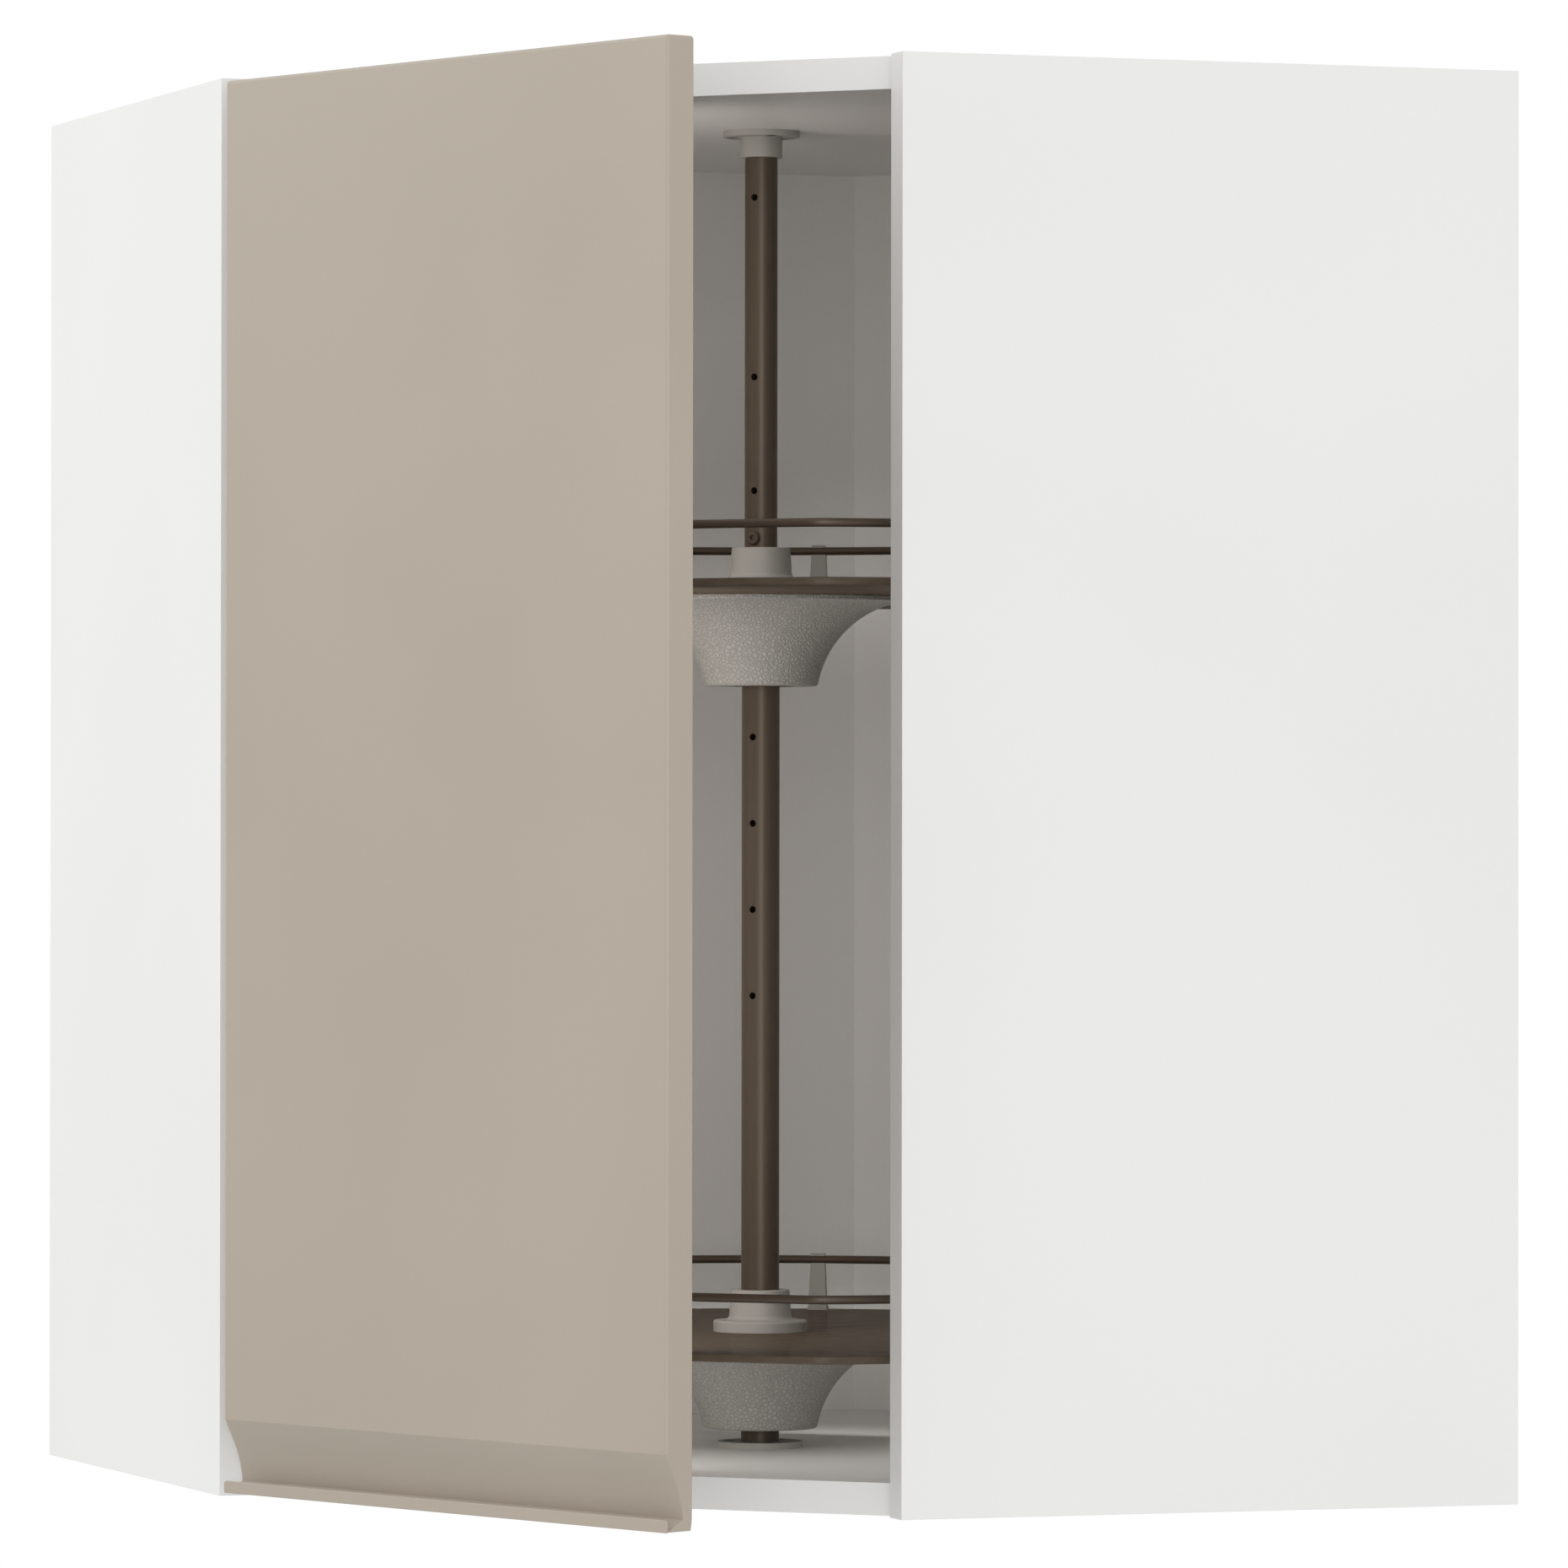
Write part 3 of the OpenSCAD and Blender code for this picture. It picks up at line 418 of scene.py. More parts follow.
# %% Bare beech for the dowels, with grain along them
def beech():
    """Grain five times as long across as upwards, because the dowels lie flat."""
    wood = Finish("beech", screen(196, 160, 120), 0.6)
    grain = wood.noise(0.0014, 4.0, stretch=(0.2, 0.2, 1))
    wood.set("Base Color", wood.mix(grain, screen(178, 140, 102), screen(208, 174, 136)))
    wood.bump(grain, 0.0001, 0.4)
    return wood.done()


beech_paint = beech()
print("materials, with those of the CAD model:", len(bpy.data.materials))

# %% [markdown]
# ## Dressing the CAD pieces
#
# Boards, fittings and screws already have their true shape in the CAD model, so they stay and only
# get their finish. Curved pieces that show, such as the pole and the hubs, are flat-sided in the
# exported mesh. They are built again below as smooth surfaces of the same size.

# %% A finish for every CAD piece that stays
dress = {
    board_paint: ["left_side_panel", "right_side_panel", "top_panel", "bottom_panel"],
    back_paint: ["left_back_panel", "right_back_panel", "corner_back_panel"],
    beech_paint: ["carcass_dowels"],
    zinc_paint: ["cam_locks", "hanging_brackets"],
    nickel_paint: ["cam_bolts", "hanging_bracket_screws", "hinge_plates", "hinge_plate_screws",
                   "hinge_arms", "hinge_arm_screws", "hinge_pins", "hinge_cups",
                   "hinge_cup_screws", "upper_support_pin", "lower_support_pin",
                   "upper_post_screws", "lower_post_screws"],
    black_paint: ["top_bracket_screws", "bottom_bracket_screws"],
    grey_paint: ["pole_top_bracket", "pole_bottom_bracket", "upper_support_ring",
                 "lower_support_ring"],
    washer_paint: ["upper_thrust_washer", "lower_thrust_washer"],
}
for paint, names in dress.items():
    for name in names:
        nodes[name].data.materials.clear()
        nodes[name].data.materials.append(paint)
print("dressed CAD pieces:", sum(len(names) for names in dress.values()))

# %% [markdown]
# ## Helpers for surfaces
#
# Nearly everything here is one of two surfaces: a profile turned round the pole, or a profile
# carried along a path. Both give a grid of points, so one helper joins a grid into faces. Another
# rounds the corners of an outline, because no real corner is perfectly sharp.

# %% From arrays to a finished piece
def build(name, points, faces, paint, body, replaces, smooth=40.0):
    """Makes a closed mesh, turns it right side out by the sign of its volume, and hands it over."""
    points = np.asarray(points, float).reshape(-1, 3)
    mesh = bpy.data.meshes.new(name)
    mesh.from_pydata(points.tolist(), [], [list(map(int, f)) for f in faces])
    mesh.update()
    mesh.calc_loop_triangles()
    corner = np.empty(len(mesh.loop_triangles) * 3, np.int32)
    mesh.loop_triangles.foreach_get("vertices", corner)
    a, b, c = points[corner.reshape(-1, 3)].transpose(1, 0, 2)
    if np.einsum("ij,ij->i", a, np.cross(b, c)).sum() < 0:
        mesh.flip_normals()
    mesh.shade_smooth()
    mesh.set_sharp_from_angle(angle=math.radians(smooth))
    mesh.materials.append(paint)
    piece = bpy.data.objects.new(name, mesh)
    bpy.context.scene.collection.objects.link(piece)
    weigh = piece.modifiers.new("flat faces stay flat", "WEIGHTED_NORMAL")
    weigh.keep_sharp = True
    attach(piece, body)
    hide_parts(*replaces)
    print(name, len(mesh.loop_triangles), "triangles")
    return piece


# %% The faces of a grid
def grid(rows, columns, close_rows=True):
    """Faces of a grid of points: each takes its right and lower neighbours. The last column is
    joined to the first, and so is the last row when the rows are closed."""
    i = np.arange(rows if close_rows else rows - 1)[:, None]
    j = np.arange(columns)[None, :]
    below, right = (i + 1) % rows, (j + 1) % columns
    quads = [i * columns + j, i * columns + right, below * columns + right, below * columns + j]
    return np.stack(np.broadcast_arrays(*quads), -1).reshape(-1, 4)


def capped(rows, columns):
    """Faces of a grid that is open from end to end: its first and last row get one face each."""
    ends = [list(range(columns)), list(range((rows - 1) * columns, rows * columns))[::-1]]
    return grid(rows, columns, close_rows=False).tolist() + ends


print("faces of an open tube with 3 rings of 4 points:", len(grid(3, 4, close_rows=False)))

# %% Rounded corners
corner_steps = 5


def rounded(corners, radii, ends=True):
    """Puts an arc in each corner: it starts and ends radius / tan(half the corner's angle) away.
    Without its ends it leaves out the first and last corner, which then only give directions."""
    p = np.asarray(corners, float)
    r = np.broadcast_to(np.asarray(radii, float), len(p))[:, None]
    back, ahead = np.roll(p, 1, 0) - p, np.roll(p, -1, 0) - p
    back, ahead = (v / np.linalg.norm(v, axis=1, keepdims=True) for v in (back, ahead))
    half = np.arccos(np.clip((back * ahead).sum(1, keepdims=True), -1, 1)) / 2
    middle = back + ahead
    centre = p + middle / np.linalg.norm(middle, axis=1, keepdims=True) * r / np.sin(half)
    first, last = p + back * r / np.tan(half) - centre, p + ahead * r / np.tan(half) - centre
    start = np.arctan2(first[:, 1], first[:, 0])
    turn = (np.arctan2(last[:, 1], last[:, 0]) - start + np.pi) % (2 * np.pi) - np.pi
    angle = start[:, None] + turn[:, None] * np.linspace(0, 1, corner_steps)
    arcs = centre[:, None] + r[:, None] * np.stack([np.cos(angle), np.sin(angle)], -1)
    return (arcs if ends else arcs[1:-1]).reshape(-1, 2)


square = [(0, 0), (1, 0), (1, 1), (0, 1)]
print("points of a rounded square:", len(rounded(square, 0.1)))

# %% Profiles turned about the pole, and the turn that faces the door
def turned(profile, steps):
    """A profile of (radius, height) pairs turned about Z: x = r cos a, y = r sin a, z = height."""
    a = np.linspace(0, 2 * np.pi, steps, endpoint=False)
    r, z = np.asarray(profile).T
    up = np.broadcast_to(z[:, None], (len(z), steps))
    return np.stack([r[:, None] * np.cos(a), r[:, None] * np.sin(a), up], -1), grid(len(r), steps)


def face_door(points):
    """Turns points by -135 degrees about the pole, so that +X looks out of the cabinet's front."""
    s = math.sqrt(0.5)
    x, y, z = np.moveaxis(np.asarray(points, float), -1, 0)
    return np.stack([s * (y - x), -s * (x + y), z], -1)


print("+X now looks along", face_door([1, 0, 0]).round(3))

# %% [markdown]
# ## The door
#
# The door has no handle: its foot is scooped out behind a thin lip, and fingers pull it there. Its
# section is the same over the whole width, so it is one outline carried from edge to edge. Near
# each edge the outline shrinks along a quarter circle, which rounds the edge. The lip is too thin
# for that radius, so it has a smaller one of its own.

# %% The door's section at a given inset
outer_x, front_y = span("left_side_panel")[0][:2]
side_gap = 14.9 * mm
door_wide = (front_y - outer_x) * math.sqrt(2) - 2 * side_gap
door_low, door_high = span("door_panel")
door_tall = door_high[2] - door_low[2]
door_thick, edge_round = 18.5 * mm, 1.9 * mm
scoop_top, scoop_deep, scoop_slope = 41.5 * mm, 12.3 * mm, math.radians(25.5)
lip_thick, lip_tall, lip_round, lip_corner = 1.4 * mm, 6.9 * mm, 0.55 * mm, 2 * mm
scoop_foot = lip_thick + 0.6 * mm
sagitta_share = 1 / math.cos(scoop_slope) - 1
scoop_radius = ((scoop_top - scoop_foot) * math.tan(scoop_slope) - scoop_deep) / sagitta_share
least_round = 0.02 * mm


def door_section(share, lip_drop=0.0, steps=26):
    """Depth behind the front face and height, for an outline shrunk by share of each edge's radius.
    The scoop's lower part is an arc: depth = deepest - R (1 - cos a), height = foot + R sin a."""
    i, k = share * edge_round, share * lip_round
    block = [(door_thick - i, k), (door_thick - i, door_tall - i), (i, door_tall - i)]
    block = [(i, scoop_top), *block, (lip_thick, k)]
    block = rounded(block, max(edge_round - i, least_round), ends=False)
    lip, inner, outer = lip_tall - lip_drop - k, lip_thick - k, door_thick / 2
    hook = [(outer, k), (k, k), (k, lip), (inner, lip), (inner, inner), (outer, inner)]
    hook = rounded(hook, max(lip_round - k, least_round), ends=False)
    a = np.linspace(0, scoop_slope, steps)
    depth = scoop_deep + i - scoop_radius * (1 - np.cos(a))
    arc = np.stack([depth, scoop_foot + scoop_radius * np.sin(a)], -1)
    start = [(scoop_deep + i, inner)]
    brow = [(i + 0.15 * mm, scoop_top - 0.4 * mm), (i, scoop_top + 0.1 * mm)]
    return np.concatenate([hook, start, arc, brow, block[::-1]])


print("points of the door's section:", len(door_section(0)))

# %% The door, carried across its width
def lip_fall(across):
    """How far the lip's top has fallen near a side edge: R - sqrt(R^2 - (R - across)^2)."""
    short = max(lip_corner - across, 0.0)
    return lip_corner - math.sqrt(lip_corner ** 2 - short ** 2)


def door_points():
    """Rows of the section. Round the side edge its inset is 1 - cos a and its distance from the
    edge 1 - sin a, in radii. From there to the blend's end every row reaches the same distance."""
    rows, along = [], []
    on_lip = np.arange(len(door_section(0))) < 4 * corner_steps
    radius = np.where(on_lip, lip_round, edge_round)
    for a in np.linspace(math.pi / 2, 0, 7):
        across = radius * (1 - math.sin(a))
        rows.append(door_section(1 - math.cos(a), lip_fall(across[0])))
        along.append(across)
    blend_end = 2.5 * mm
    for t in np.linspace(0.2, 1, 5):
        across = radius + t * (blend_end - radius)
        rows.append(door_section(0, lip_fall(across[0])))
        along.append(across)
    along = np.array(along + [door_wide - x for x in along[::-1]])
    depth, height = np.moveaxis(np.array(rows + rows[::-1]), -1, 0)
    return np.stack([along, depth - door_thick, height + door_low[2]], -1)


door = door_points()
print("the door's grid:", door.shape[:2])

# %% The door on its hinges
door_joint = next(j for j in frame["joints"] if j["name"] == "door_hinge")
pin_x, pin_y = door_joint["pos_m"][:2]
pin_inset, pin_sunk = 9.5 * mm, 7.5 * mm
ajar = math.radians(-45 + door_joint["range_deg"][0])


def hang_door(points):
    """From the door's own frame to the cabinet's: the pin goes to 0, the door turns about it by
    the angle at which it stands ajar, and the pin goes to its place."""
    x, y, z = np.moveaxis(points, -1, 0)
    x, y = x - pin_inset, y + pin_sunk
    c, s = math.cos(ajar), math.sin(ajar)
    return np.stack([pin_x + c * x - s * y, pin_y + s * x + c * y, z], -1)


leaf = build("door_leaf", hang_door(door), capped(*door.shape[:2]), door_paint, "door",
             ["door_panel"], smooth=28)

# %% [markdown]
# The hinge cups sink into the door's back, so the leaf needs their round pockets. They are cut
# once, here, with drills that are thrown away afterwards.

# %% Pockets for the hinge cups
def drill(across, height, radius, deep, around=64):
    """A cylinder that enters the door's back at a place across its width, deep metres into it."""
    a = np.linspace(0, 2 * np.pi, around, endpoint=False)
    circle = np.stack([across + radius * np.cos(a), 0 * a, height + radius * np.sin(a)], -1)
    return np.concatenate([circle + [0, 1 * mm, 0], circle - [0, deep, 0]]), capped(2, around)


def drill_out(piece, drills):
    """Takes the drills away from a piece's mesh and keeps its edges as they are."""
    points, faces = [], []
    for shape, sides in drills:
        faces += [np.add(side, sum(map(len, points))).tolist() for side in sides]
        points.append(hang_door(shape))
    mesh = bpy.data.meshes.new("drills")
    mesh.from_pydata(np.concatenate(points).tolist(), [], faces)
    tool = bpy.data.objects.new("drills", mesh)
    bpy.context.scene.collection.objects.link(tool)
    bore = piece.modifiers.new("bores", "BOOLEAN")
    bore.object, bore.operation, bore.solver = tool, "DIFFERENCE", "EXACT"
    piece.modifiers.move(len(piece.modifiers) - 1, 0)
    softened = piece.modifiers[1]
    softened.show_viewport = False
    bpy.context.view_layer.update()
    drilled = piece.evaluated_get(bpy.context.evaluated_depsgraph_get())
    cut_mesh = bpy.data.meshes.new_from_object(drilled)
    softened.show_viewport = True
    piece.modifiers.remove(bore)
    piece.data = cut_mesh
    bpy.data.objects.remove(tool)
    print(piece.name, "after drilling:", len(cut_mesh.polygons), "faces")


cup_radius, cup_place, cup_deep = 17.5 * mm, 21.5 * mm, 12.0 * mm
drills = [drill(cup_place, height, cup_radius, cup_deep) for height in (100 * mm, 700 * mm)]
drill_out(leaf, drills)

# %% [markdown]
# ## The trays and their rails
#
# Seen from above, a tray is a circle with one straight side, which lines up with the closed door.
# Two small arcs join the straight to the circle. Growing the outline only changes the three radii,
# so one function gives the tray's edge, its rounded rim and the path of the rail's wire.

# %% The outline of a tray
tray_radius = span("upper_tray")[1][0]
margin, corner_radius, straight_cut = 13 * mm, 20 * mm, 40 * mm
rail_radius = tray_radius - margin
corner_x = rail_radius - straight_cut - corner_radius
corner_y = math.sqrt((rail_radius - corner_radius) ** 2 - corner_x ** 2)
lean = math.atan2(corner_y, corner_x)


def outline(grow, around=220, bend=14):
    """The rail's path grown outwards: an arc of the circle, a corner arc, the straight and the
    other corner arc. Growing it adds to each radius."""
    a = np.linspace(lean, 2 * np.pi - lean, around)
    wide = (rail_radius + grow) * np.stack([np.cos(a), np.sin(a)], -1)
    b = np.linspace(-lean, 0, bend)
    turn = np.stack([np.cos(b), np.sin(b)], -1) * (corner_radius + grow)
    first = turn + [corner_x, -corner_y]
    last = (turn * [1, -1])[::-1] + [corner_x, corner_y]
    straight = np.linspace(first[-1], last[0], 24)[1:-1]
    return np.concatenate([wide[1:-1], first, straight, last])


print("the straight side is", round(2 * corner_y / mm, 1), "mm long")

# %% A tray: its rim is half rounded, its faces run in to the hole for the hub's sleeve
sleeve = 15.1 * mm


def flat_ring(path, height):
    """A path in the plane as points at one height."""
    return np.column_stack([path, np.full(len(path), height)])


def tray(level, height, thick, rim=1.1 * mm, flat_in=12 * mm):
    """Stations from the hole's edge out over the top, round the rim by sin and cos, and back
    along the underside."""
    path = outline(0.0)
    angle = np.arctan2(path[:, 1], path[:, 0])
    ring = sleeve * np.stack([np.cos(angle), np.sin(angle)], -1)
    middle, top = outline(-flat_in), height + thick
    a = np.linspace(np.pi / 2, 0, 5)
    grows = margin - rim + rim * np.cos([*a, *a[::-1]])
    ups = [*(top - rim + rim * np.sin(a)), *(height + rim - rim * np.sin(a[::-1]))]
    stations = [flat_ring(ring, top), flat_ring(middle, top)]
    stations += [flat_ring(outline(grow), up) for grow, up in zip(grows, ups)]
    stations += [flat_ring(middle, height), flat_ring(ring, height)]
    points = np.array(stations)
    build(level + "_tray_sheet", face_door(points), grid(*points.shape[:2]), tray_paint,
          level + "_carousel", [level + "_tray"])


levels = {name: span(name + "_tray") for name in ("upper", "lower")}
print("the trays stand at", [round(float(low[2]), 4) for low, high in levels.values()], "m")

# %% A rail: a round wire carried along the outline
wire, rail_up = 2.45 * mm, 35.1 * mm


def rail(level, height):
    """Wire surface = path + r (cos b outwards + sin b upwards)."""
    b = np.linspace(0, 2 * np.pi, 20, endpoint=False)
    points = np.array([flat_ring(outline(wire * math.cos(t)), height + rail_up + wire * math.sin(t))
                       for t in b])
    build(level + "_wire_rail", face_door(points), grid(*points.shape[:2]), wire_paint,
          level + "_carousel", [level + "_rail"])


for level, (low, high) in levels.items():
    tray(level, low[2], high[2] - low[2])
    rail(level, low[2])

# %% [markdown]
# ## The rail posts
#
# Each post is one moulding: a foot screwed to the tray, a tapering column, and a clip that holds
# the wire between two jaws, open towards the middle. It is drawn as an outline seen along the wire
# and carried across the post's width, which grows towards the foot.

# %% The outline of one post
post_angles = [17.4, 53.4, 89.4, 125.4]
foot_back, foot_front, foot_tall, foot_slope = -5.0 * mm, 5.6 * mm, 1.5 * mm, 2.2 * mm


def post_outline(thick):
    """Distance outwards and height above the tray's underside: foot, outer side, then the clip's
    jaws, which are an arc of the wire's circle, and the inner side."""
    front, behind, jaw_end, top = 4.2 * mm, -4.0 * mm, -1.3 * mm, rail_up + wire + 1.2 * mm
    ledge, root = thick + foot_tall, thick + foot_slope
    foot = [(foot_back, thick), (foot_front, thick), (foot_front, ledge), (4.9 * mm, root),
            (front, rail_up - 4 * mm), (front, top), (jaw_end, top)]
    jaw, grip = np.radians(np.linspace(122, -122, 25)), wire + 0.05 * mm
    clip = np.stack([grip * np.cos(jaw), rail_up + grip * np.sin(jaw)], -1)
    base = [(-1.6 * mm, rail_up - wire - 2.5 * mm), (behind, root), (foot_back, ledge)]
    return np.concatenate([foot, clip, base])


print("points of a post's outline:", len(post_outline(0)))

# %% A post's width, and its copies round the tray
def post_shape(height, thick):
    """Rows of the outline across the width. The outer rows draw in a little, which softens them."""
    flat = post_outline(thick)
    places = [thick, thick + foot_tall, thick + 2.4 * mm, rail_up + 4 * mm]
    half = np.interp(flat[:, 1], places, [5.9 * mm, 5.9 * mm, 5.3 * mm, 4.1 * mm])
    rows = []
    for share, drawn_in in ((-1, 0.05), (-0.92, 0.0), (0.92, 0.0), (1, 0.05)):
        outwards = flat[:, 0] * (1 - drawn_in) + rail_radius
        rows.append(np.column_stack([outwards, half * share, flat[:, 1] + height]))
    return np.array(rows)


def posts(level, height, thick):
    """The same post turned about the pole to each angle, on both sides of the middle line."""
    shape = post_shape(height, thick)
    one_post = capped(*shape.shape[:2])
    x, y, z = shape.reshape(-1, 3).T
    points, faces = [], []
    for angle in post_angles:
        for side in (-1, 1):
            a = math.pi + side * math.radians(angle)
            c, s = math.cos(a), math.sin(a)
            faces += [np.add(face, len(x) * len(points)) for face in one_post]
            points.append(face_door(np.stack([c * x - s * y, s * x + c * y, z], -1)))
    build(level + "_rail_clips", np.array(points), faces, grey_paint, level + "_carousel",
          [level + "_rail_posts"], smooth=35)


for level, (low, high) in levels.items():
    posts(level, low[2], high[2] - low[2])

# %% [markdown]
# ## Hubs and collars
#
# Below each tray a trumpet-shaped hub spreads the load, and above it a collar holds the sleeve
# that runs on the pole. Both are turned. The hub's flank is hollow: it follows part of a circle
# whose centre lies outside, and its wall has the same thickness everywhere.

# %% The hub's profile
def hub_profile():
    """Radius and height below the tray: the flange, the hollow flank as an arc about a point
    outside, the rounded foot, and the same arc back up inside, one wall further out."""
    centre, radius, wall = np.array([91.4, -60.8]) * mm, 59.1 * mm, 3 * mm
    depth, edge, mouth = 51.4 * mm, 2 * mm, 17.2 * mm
    flange_in, flange_out, flange_round = 60 * mm, 92 * mm, 0.7 * mm
    foot_up = edge - depth
    foot_out = centre[0] - math.sqrt((radius + edge) ** 2 - (foot_up - centre[1]) ** 2)
    foot = np.array([foot_out, foot_up])
    touch = math.atan2(*(foot - centre)[::-1])
    top = math.pi - math.asin((-wall - centre[1]) / radius)
    a = np.linspace(top, touch % (2 * math.pi), 40)
    towards = np.stack([np.cos(a), np.sin(a)], -1)
    flank, inside = centre + radius * towards, centre + (radius + wall) * towards
    inside = inside[(inside[:, 1] > wall - depth) & (inside[:, 1] < -wall)][::-1]
    b = np.linspace((touch + math.pi) % (2 * math.pi), -math.pi / 2, 9)
    ball = foot + edge * np.stack([np.cos(b), np.sin(b)], -1)
    flange = [(flange_in, 0), (flange_out, 0), (flange_out, -wall), (flange_in, -wall)]
    flange = rounded(flange, flange_round, ends=False)
    mouth_side = [(mouth, -depth), (mouth, wall - depth)]
    boss_radius, boss_foot = 18.5 * mm, -22 * mm
    boss = [(boss_radius, -wall), (boss_radius, boss_foot), (sleeve, boss_foot)]
    return np.concatenate([[(sleeve, 0)], flange, flank, ball, mouth_side, inside, boss])


print("points of the hub's profile:", len(hub_profile()))

# %% The collar's profile
def collar_profile(thick):
    """A foot with a rounded rim, a hollow fillet, a neck that tapers, and the sleeve below."""
    foot, foot_up, rim_round = 27.2 * mm, 5.3 * mm, 1.5 * mm
    neck, neck_up, fillet, lip_edge = 18 * mm, 9.8 * mm, 3 * mm, 0.8 * mm
    top, top_up, mouth, mouth_up = 17 * mm, 24.4 * mm, 11.3 * mm, 9 * mm
    bore, outside, reach, gap = 11.1 * mm, 15 * mm, -thick - 20 * mm, 0.05 * mm
    a = np.linspace(0, math.pi / 2, 7)
    rim = np.stack([foot - rim_round * (1 - np.cos(a)), foot_up + rim_round * np.sin(a)], -1)
    hollow = np.stack([neck + fillet * (1 - np.sin(a)), neck_up - fillet * np.cos(a)], -1)
    lip = [(neck, neck_up), (top, top_up), (mouth, top_up), (mouth, mouth_up)]
    sleeve_end = [(bore, reach), (outside, reach), (outside, gap)]
    lip = rounded(lip, lip_edge, ends=False)
    return np.concatenate([[(foot, gap)], rim, hollow, lip, sleeve_end])


print("points of the collar's profile:", len(collar_profile(0)))

# %% Turn both profiles about the pole, on each level
for level, (low, high) in levels.items():
    points, faces = turned(hub_profile(), 160)
    build(level + "_trumpet_hub", points + [0, 0, low[2]], faces, hub_paint, level + "_carousel",
          [level + "_hub"], smooth=50)
    points, faces = turned(collar_profile(high[2] - low[2]), 128)
    build(level + "_neck_collar", points + [0, 0, high[2]], faces, grey_paint, level + "_carousel",
          [level + "_hub_collar"], smooth=50)

# %% [markdown]
# ## The pole
#
# The two tubes have cross holes that face the door, for the pins that carry the trays. A hole in a
# tube is easy on a grid: a square block of the grid is left out, and its border is joined to a
# circle of as many points, measured along the tube's surface so that it stays round.

# %% The block of cells that a hole replaces, and the hole's circle
around, block = 96, 4
step, facing = 2 * math.pi / around, math.radians(-135)
hole_radius, tube_wall = 2.05 * mm, 1.2 * mm
side, edge = np.arange(-block, block), np.full(2 * block, block)
border_up = np.concatenate([-edge, side, edge, -side])
border_across = np.concatenate([side, edge, -side, -edge])
towards = np.column_stack([border_across, border_up])
circle = hole_radius * towards / np.linalg.norm(towards, axis=1, keepdims=True)
print("points round a hole:", len(circle))


def on_tube(radius, angle, height):
    """Points on a tube: x = r cos a, y = r sin a."""
    return np.stack([radius * np.cos(angle), radius * np.sin(angle), height], -1).reshape(-1, 3)


# %% The two skins of a tube, with a hole in front and behind at each height
def skins_with_holes(radius, heights, bottom, top):
    """Points, cells and faces round the holes. The heights rise. A hole's faces run from the outer
    skin's border to its circle, through the wall, and on to the inner skin's border."""
    radii, square = (radius, radius - tube_wall), np.arange(-block, block + 1) * step * radius
    ups = np.concatenate([[bottom], *(height + square for height in heights), [top]])
    z, a = np.meshgrid(ups, facing + step * np.arange(around), indexing="ij")
    points, rings, kept = [on_tube(r, a, z) for r in radii], [], np.ones(z.shape, bool)[1:]
    places = [(height, turn) for height in heights for turn in (0, around // 2)]
    for number, (height, turn) in enumerate(places):
        middle = 1 + block + number // 2 * len(square)
        kept[middle - block:middle + block, (turn + side) % around] = False
        rim = (middle + border_up) * around + (turn + border_across) % around
        outer = 2 * z.size + 2 * len(circle) * number + np.arange(len(circle))
        angle = facing + turn * step + circle[:, 0] / radius
        points += [on_tube(r, angle, height + circle[:, 1]) for r in radii]
        stations = [rim, outer, outer + len(circle), rim + z.size]
        for near, far in zip(stations, stations[1:]):
            rings.append(np.column_stack([far, np.roll(far, -1), np.roll(near, -1), near]))
    cells = grid(*z.shape, close_rows=False).reshape(-1, around, 4)[kept]
    return np.concatenate(points), cells, rings, z.size


# %% The tubes
def tube(name, node, heights):
    """The outer skin, the same cells turned over as the inner skin, and a ring at each end."""
    low, high = span(node)
    points, cells, rings, count = skins_with_holes(high[0], heights, low[2], high[2])
    here = np.arange(around)
    ahead = np.roll(here, -1)
    foot = np.column_stack([here, here + count, ahead + count, ahead])
    head = np.column_stack([here, ahead, ahead + count, here + count]) + count - around
    faces = np.concatenate([cells, cells[:, ::-1] + count, foot, head, *rings])
    build(name, points, faces, tube_paint, "cabinet", [node], smooth=35)


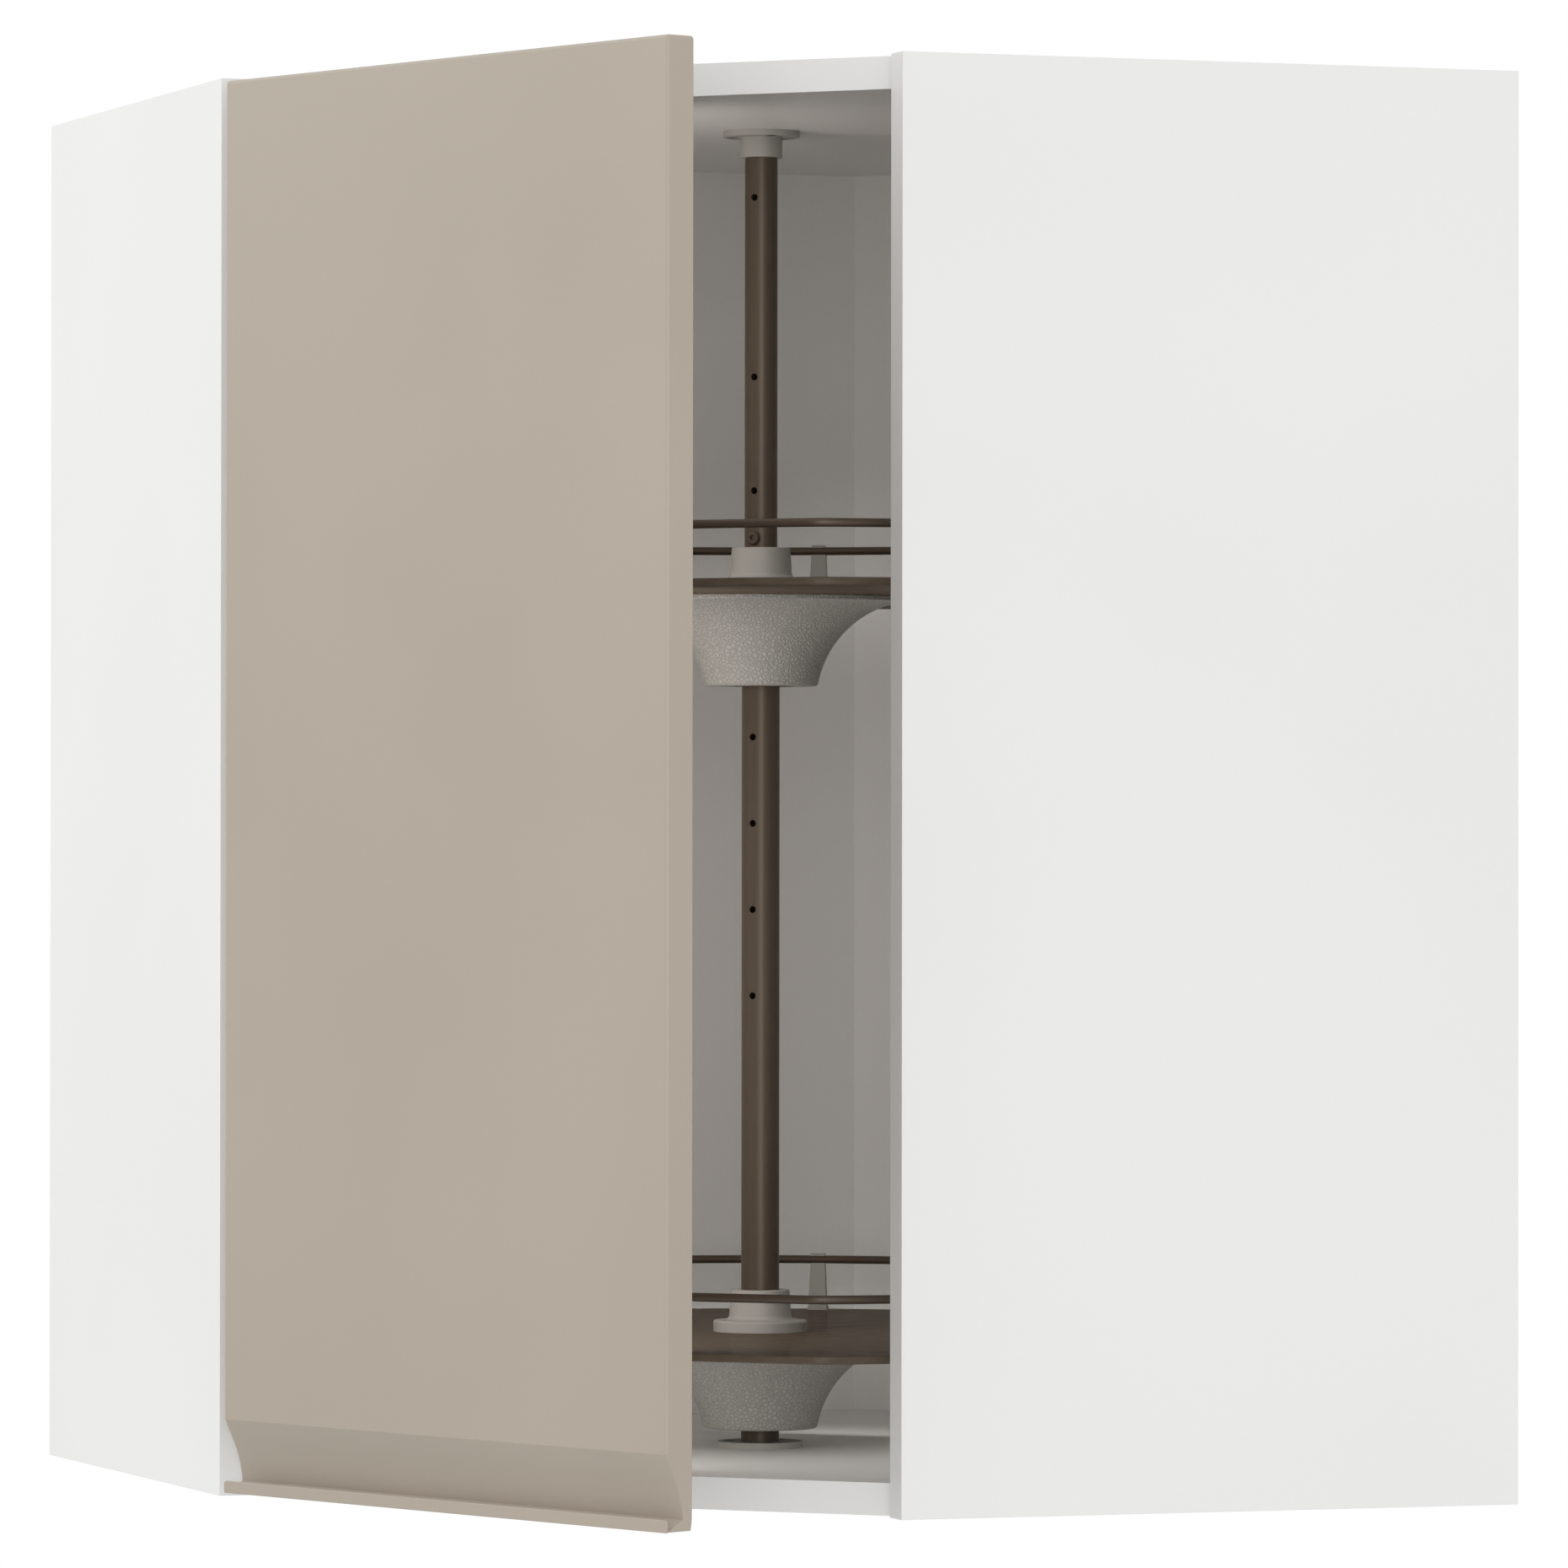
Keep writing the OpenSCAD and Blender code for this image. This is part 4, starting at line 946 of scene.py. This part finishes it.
pin_radius = 2 * mm
pin_up = span("upper_support_pin")[0][2] + pin_radius
ceiling = span("top_panel")[0][2]
upper_holes = [ceiling - d * mm for d in (209.1, 143.1, 38.9)]
lower_holes = [pin_up - d * mm for d in (200, 150, 100, 50)]
tube("upper_tube_bronze", "pole_upper_tube", upper_holes)
tube("lower_tube_bronze", "pole_lower_tube", lower_holes)

# %% [markdown]
# ## The lock screw
#
# One pan-head screw clamps the tubes together just above the upper collar, with a six-lobed
# recess for the driver. The head is a polar grid: every ring has the same angles, and the rings of
# the recess swell and shrink six times a turn.

# %% A head whose recess radius is r (1 + 0.14 cos 6a)
screw_low, screw_high = span("pole_lock_screw")
tube_face = span("pole_upper_tube")[1][0]


def lock_screw(around=96, lobes=6, swell=0.14):
    """Rings from the shank's end out to the head, over its dome and down into the recess. Each is
    a radius and a distance out of the tube's face."""
    head, head_tall, rim_up, dome_round = 4.1 * mm, 2.4 * mm, 0.5 * mm, 1.7 * mm
    shank, shank_end, recess_deep = 1.95 * mm, -3.0 * mm, 1.5 * mm
    dome = np.linspace(0, math.radians(62), 8)
    dome_radius = head - dome_round * (1 - np.cos(dome))
    dome_out = rim_up + (head_tall - rim_up) * np.sin(dome) / math.sin(dome[-1])
    plain = [(shank, shank_end), (shank, 0), (head, 0), *zip(dome_radius, dome_out)]
    recess = [(1.62 * mm, head_tall - 0.02 * mm), (1.45 * mm, head_tall - 0.2 * mm),
              (1.35 * mm, head_tall - recess_deep)]
    a = np.linspace(0, 2 * np.pi, around, endpoint=False)
    radius, out = np.array(plain + recess).T[:, :, None]
    lobed = np.arange(len(radius))[:, None] >= len(plain)
    radius = radius * (1 + swell * lobed * np.cos(lobes * a))
    up = (screw_low[2] + screw_high[2]) / 2 + radius * np.sin(a)
    points = np.stack([tube_face + out + 0 * a, radius * np.cos(a), up], -1)
    build("lobed_lock_screw", face_door(points), capped(*points.shape[:2]), wire_paint,
          "cabinet", ["pole_lock_screw"], smooth=35)


lock_screw()
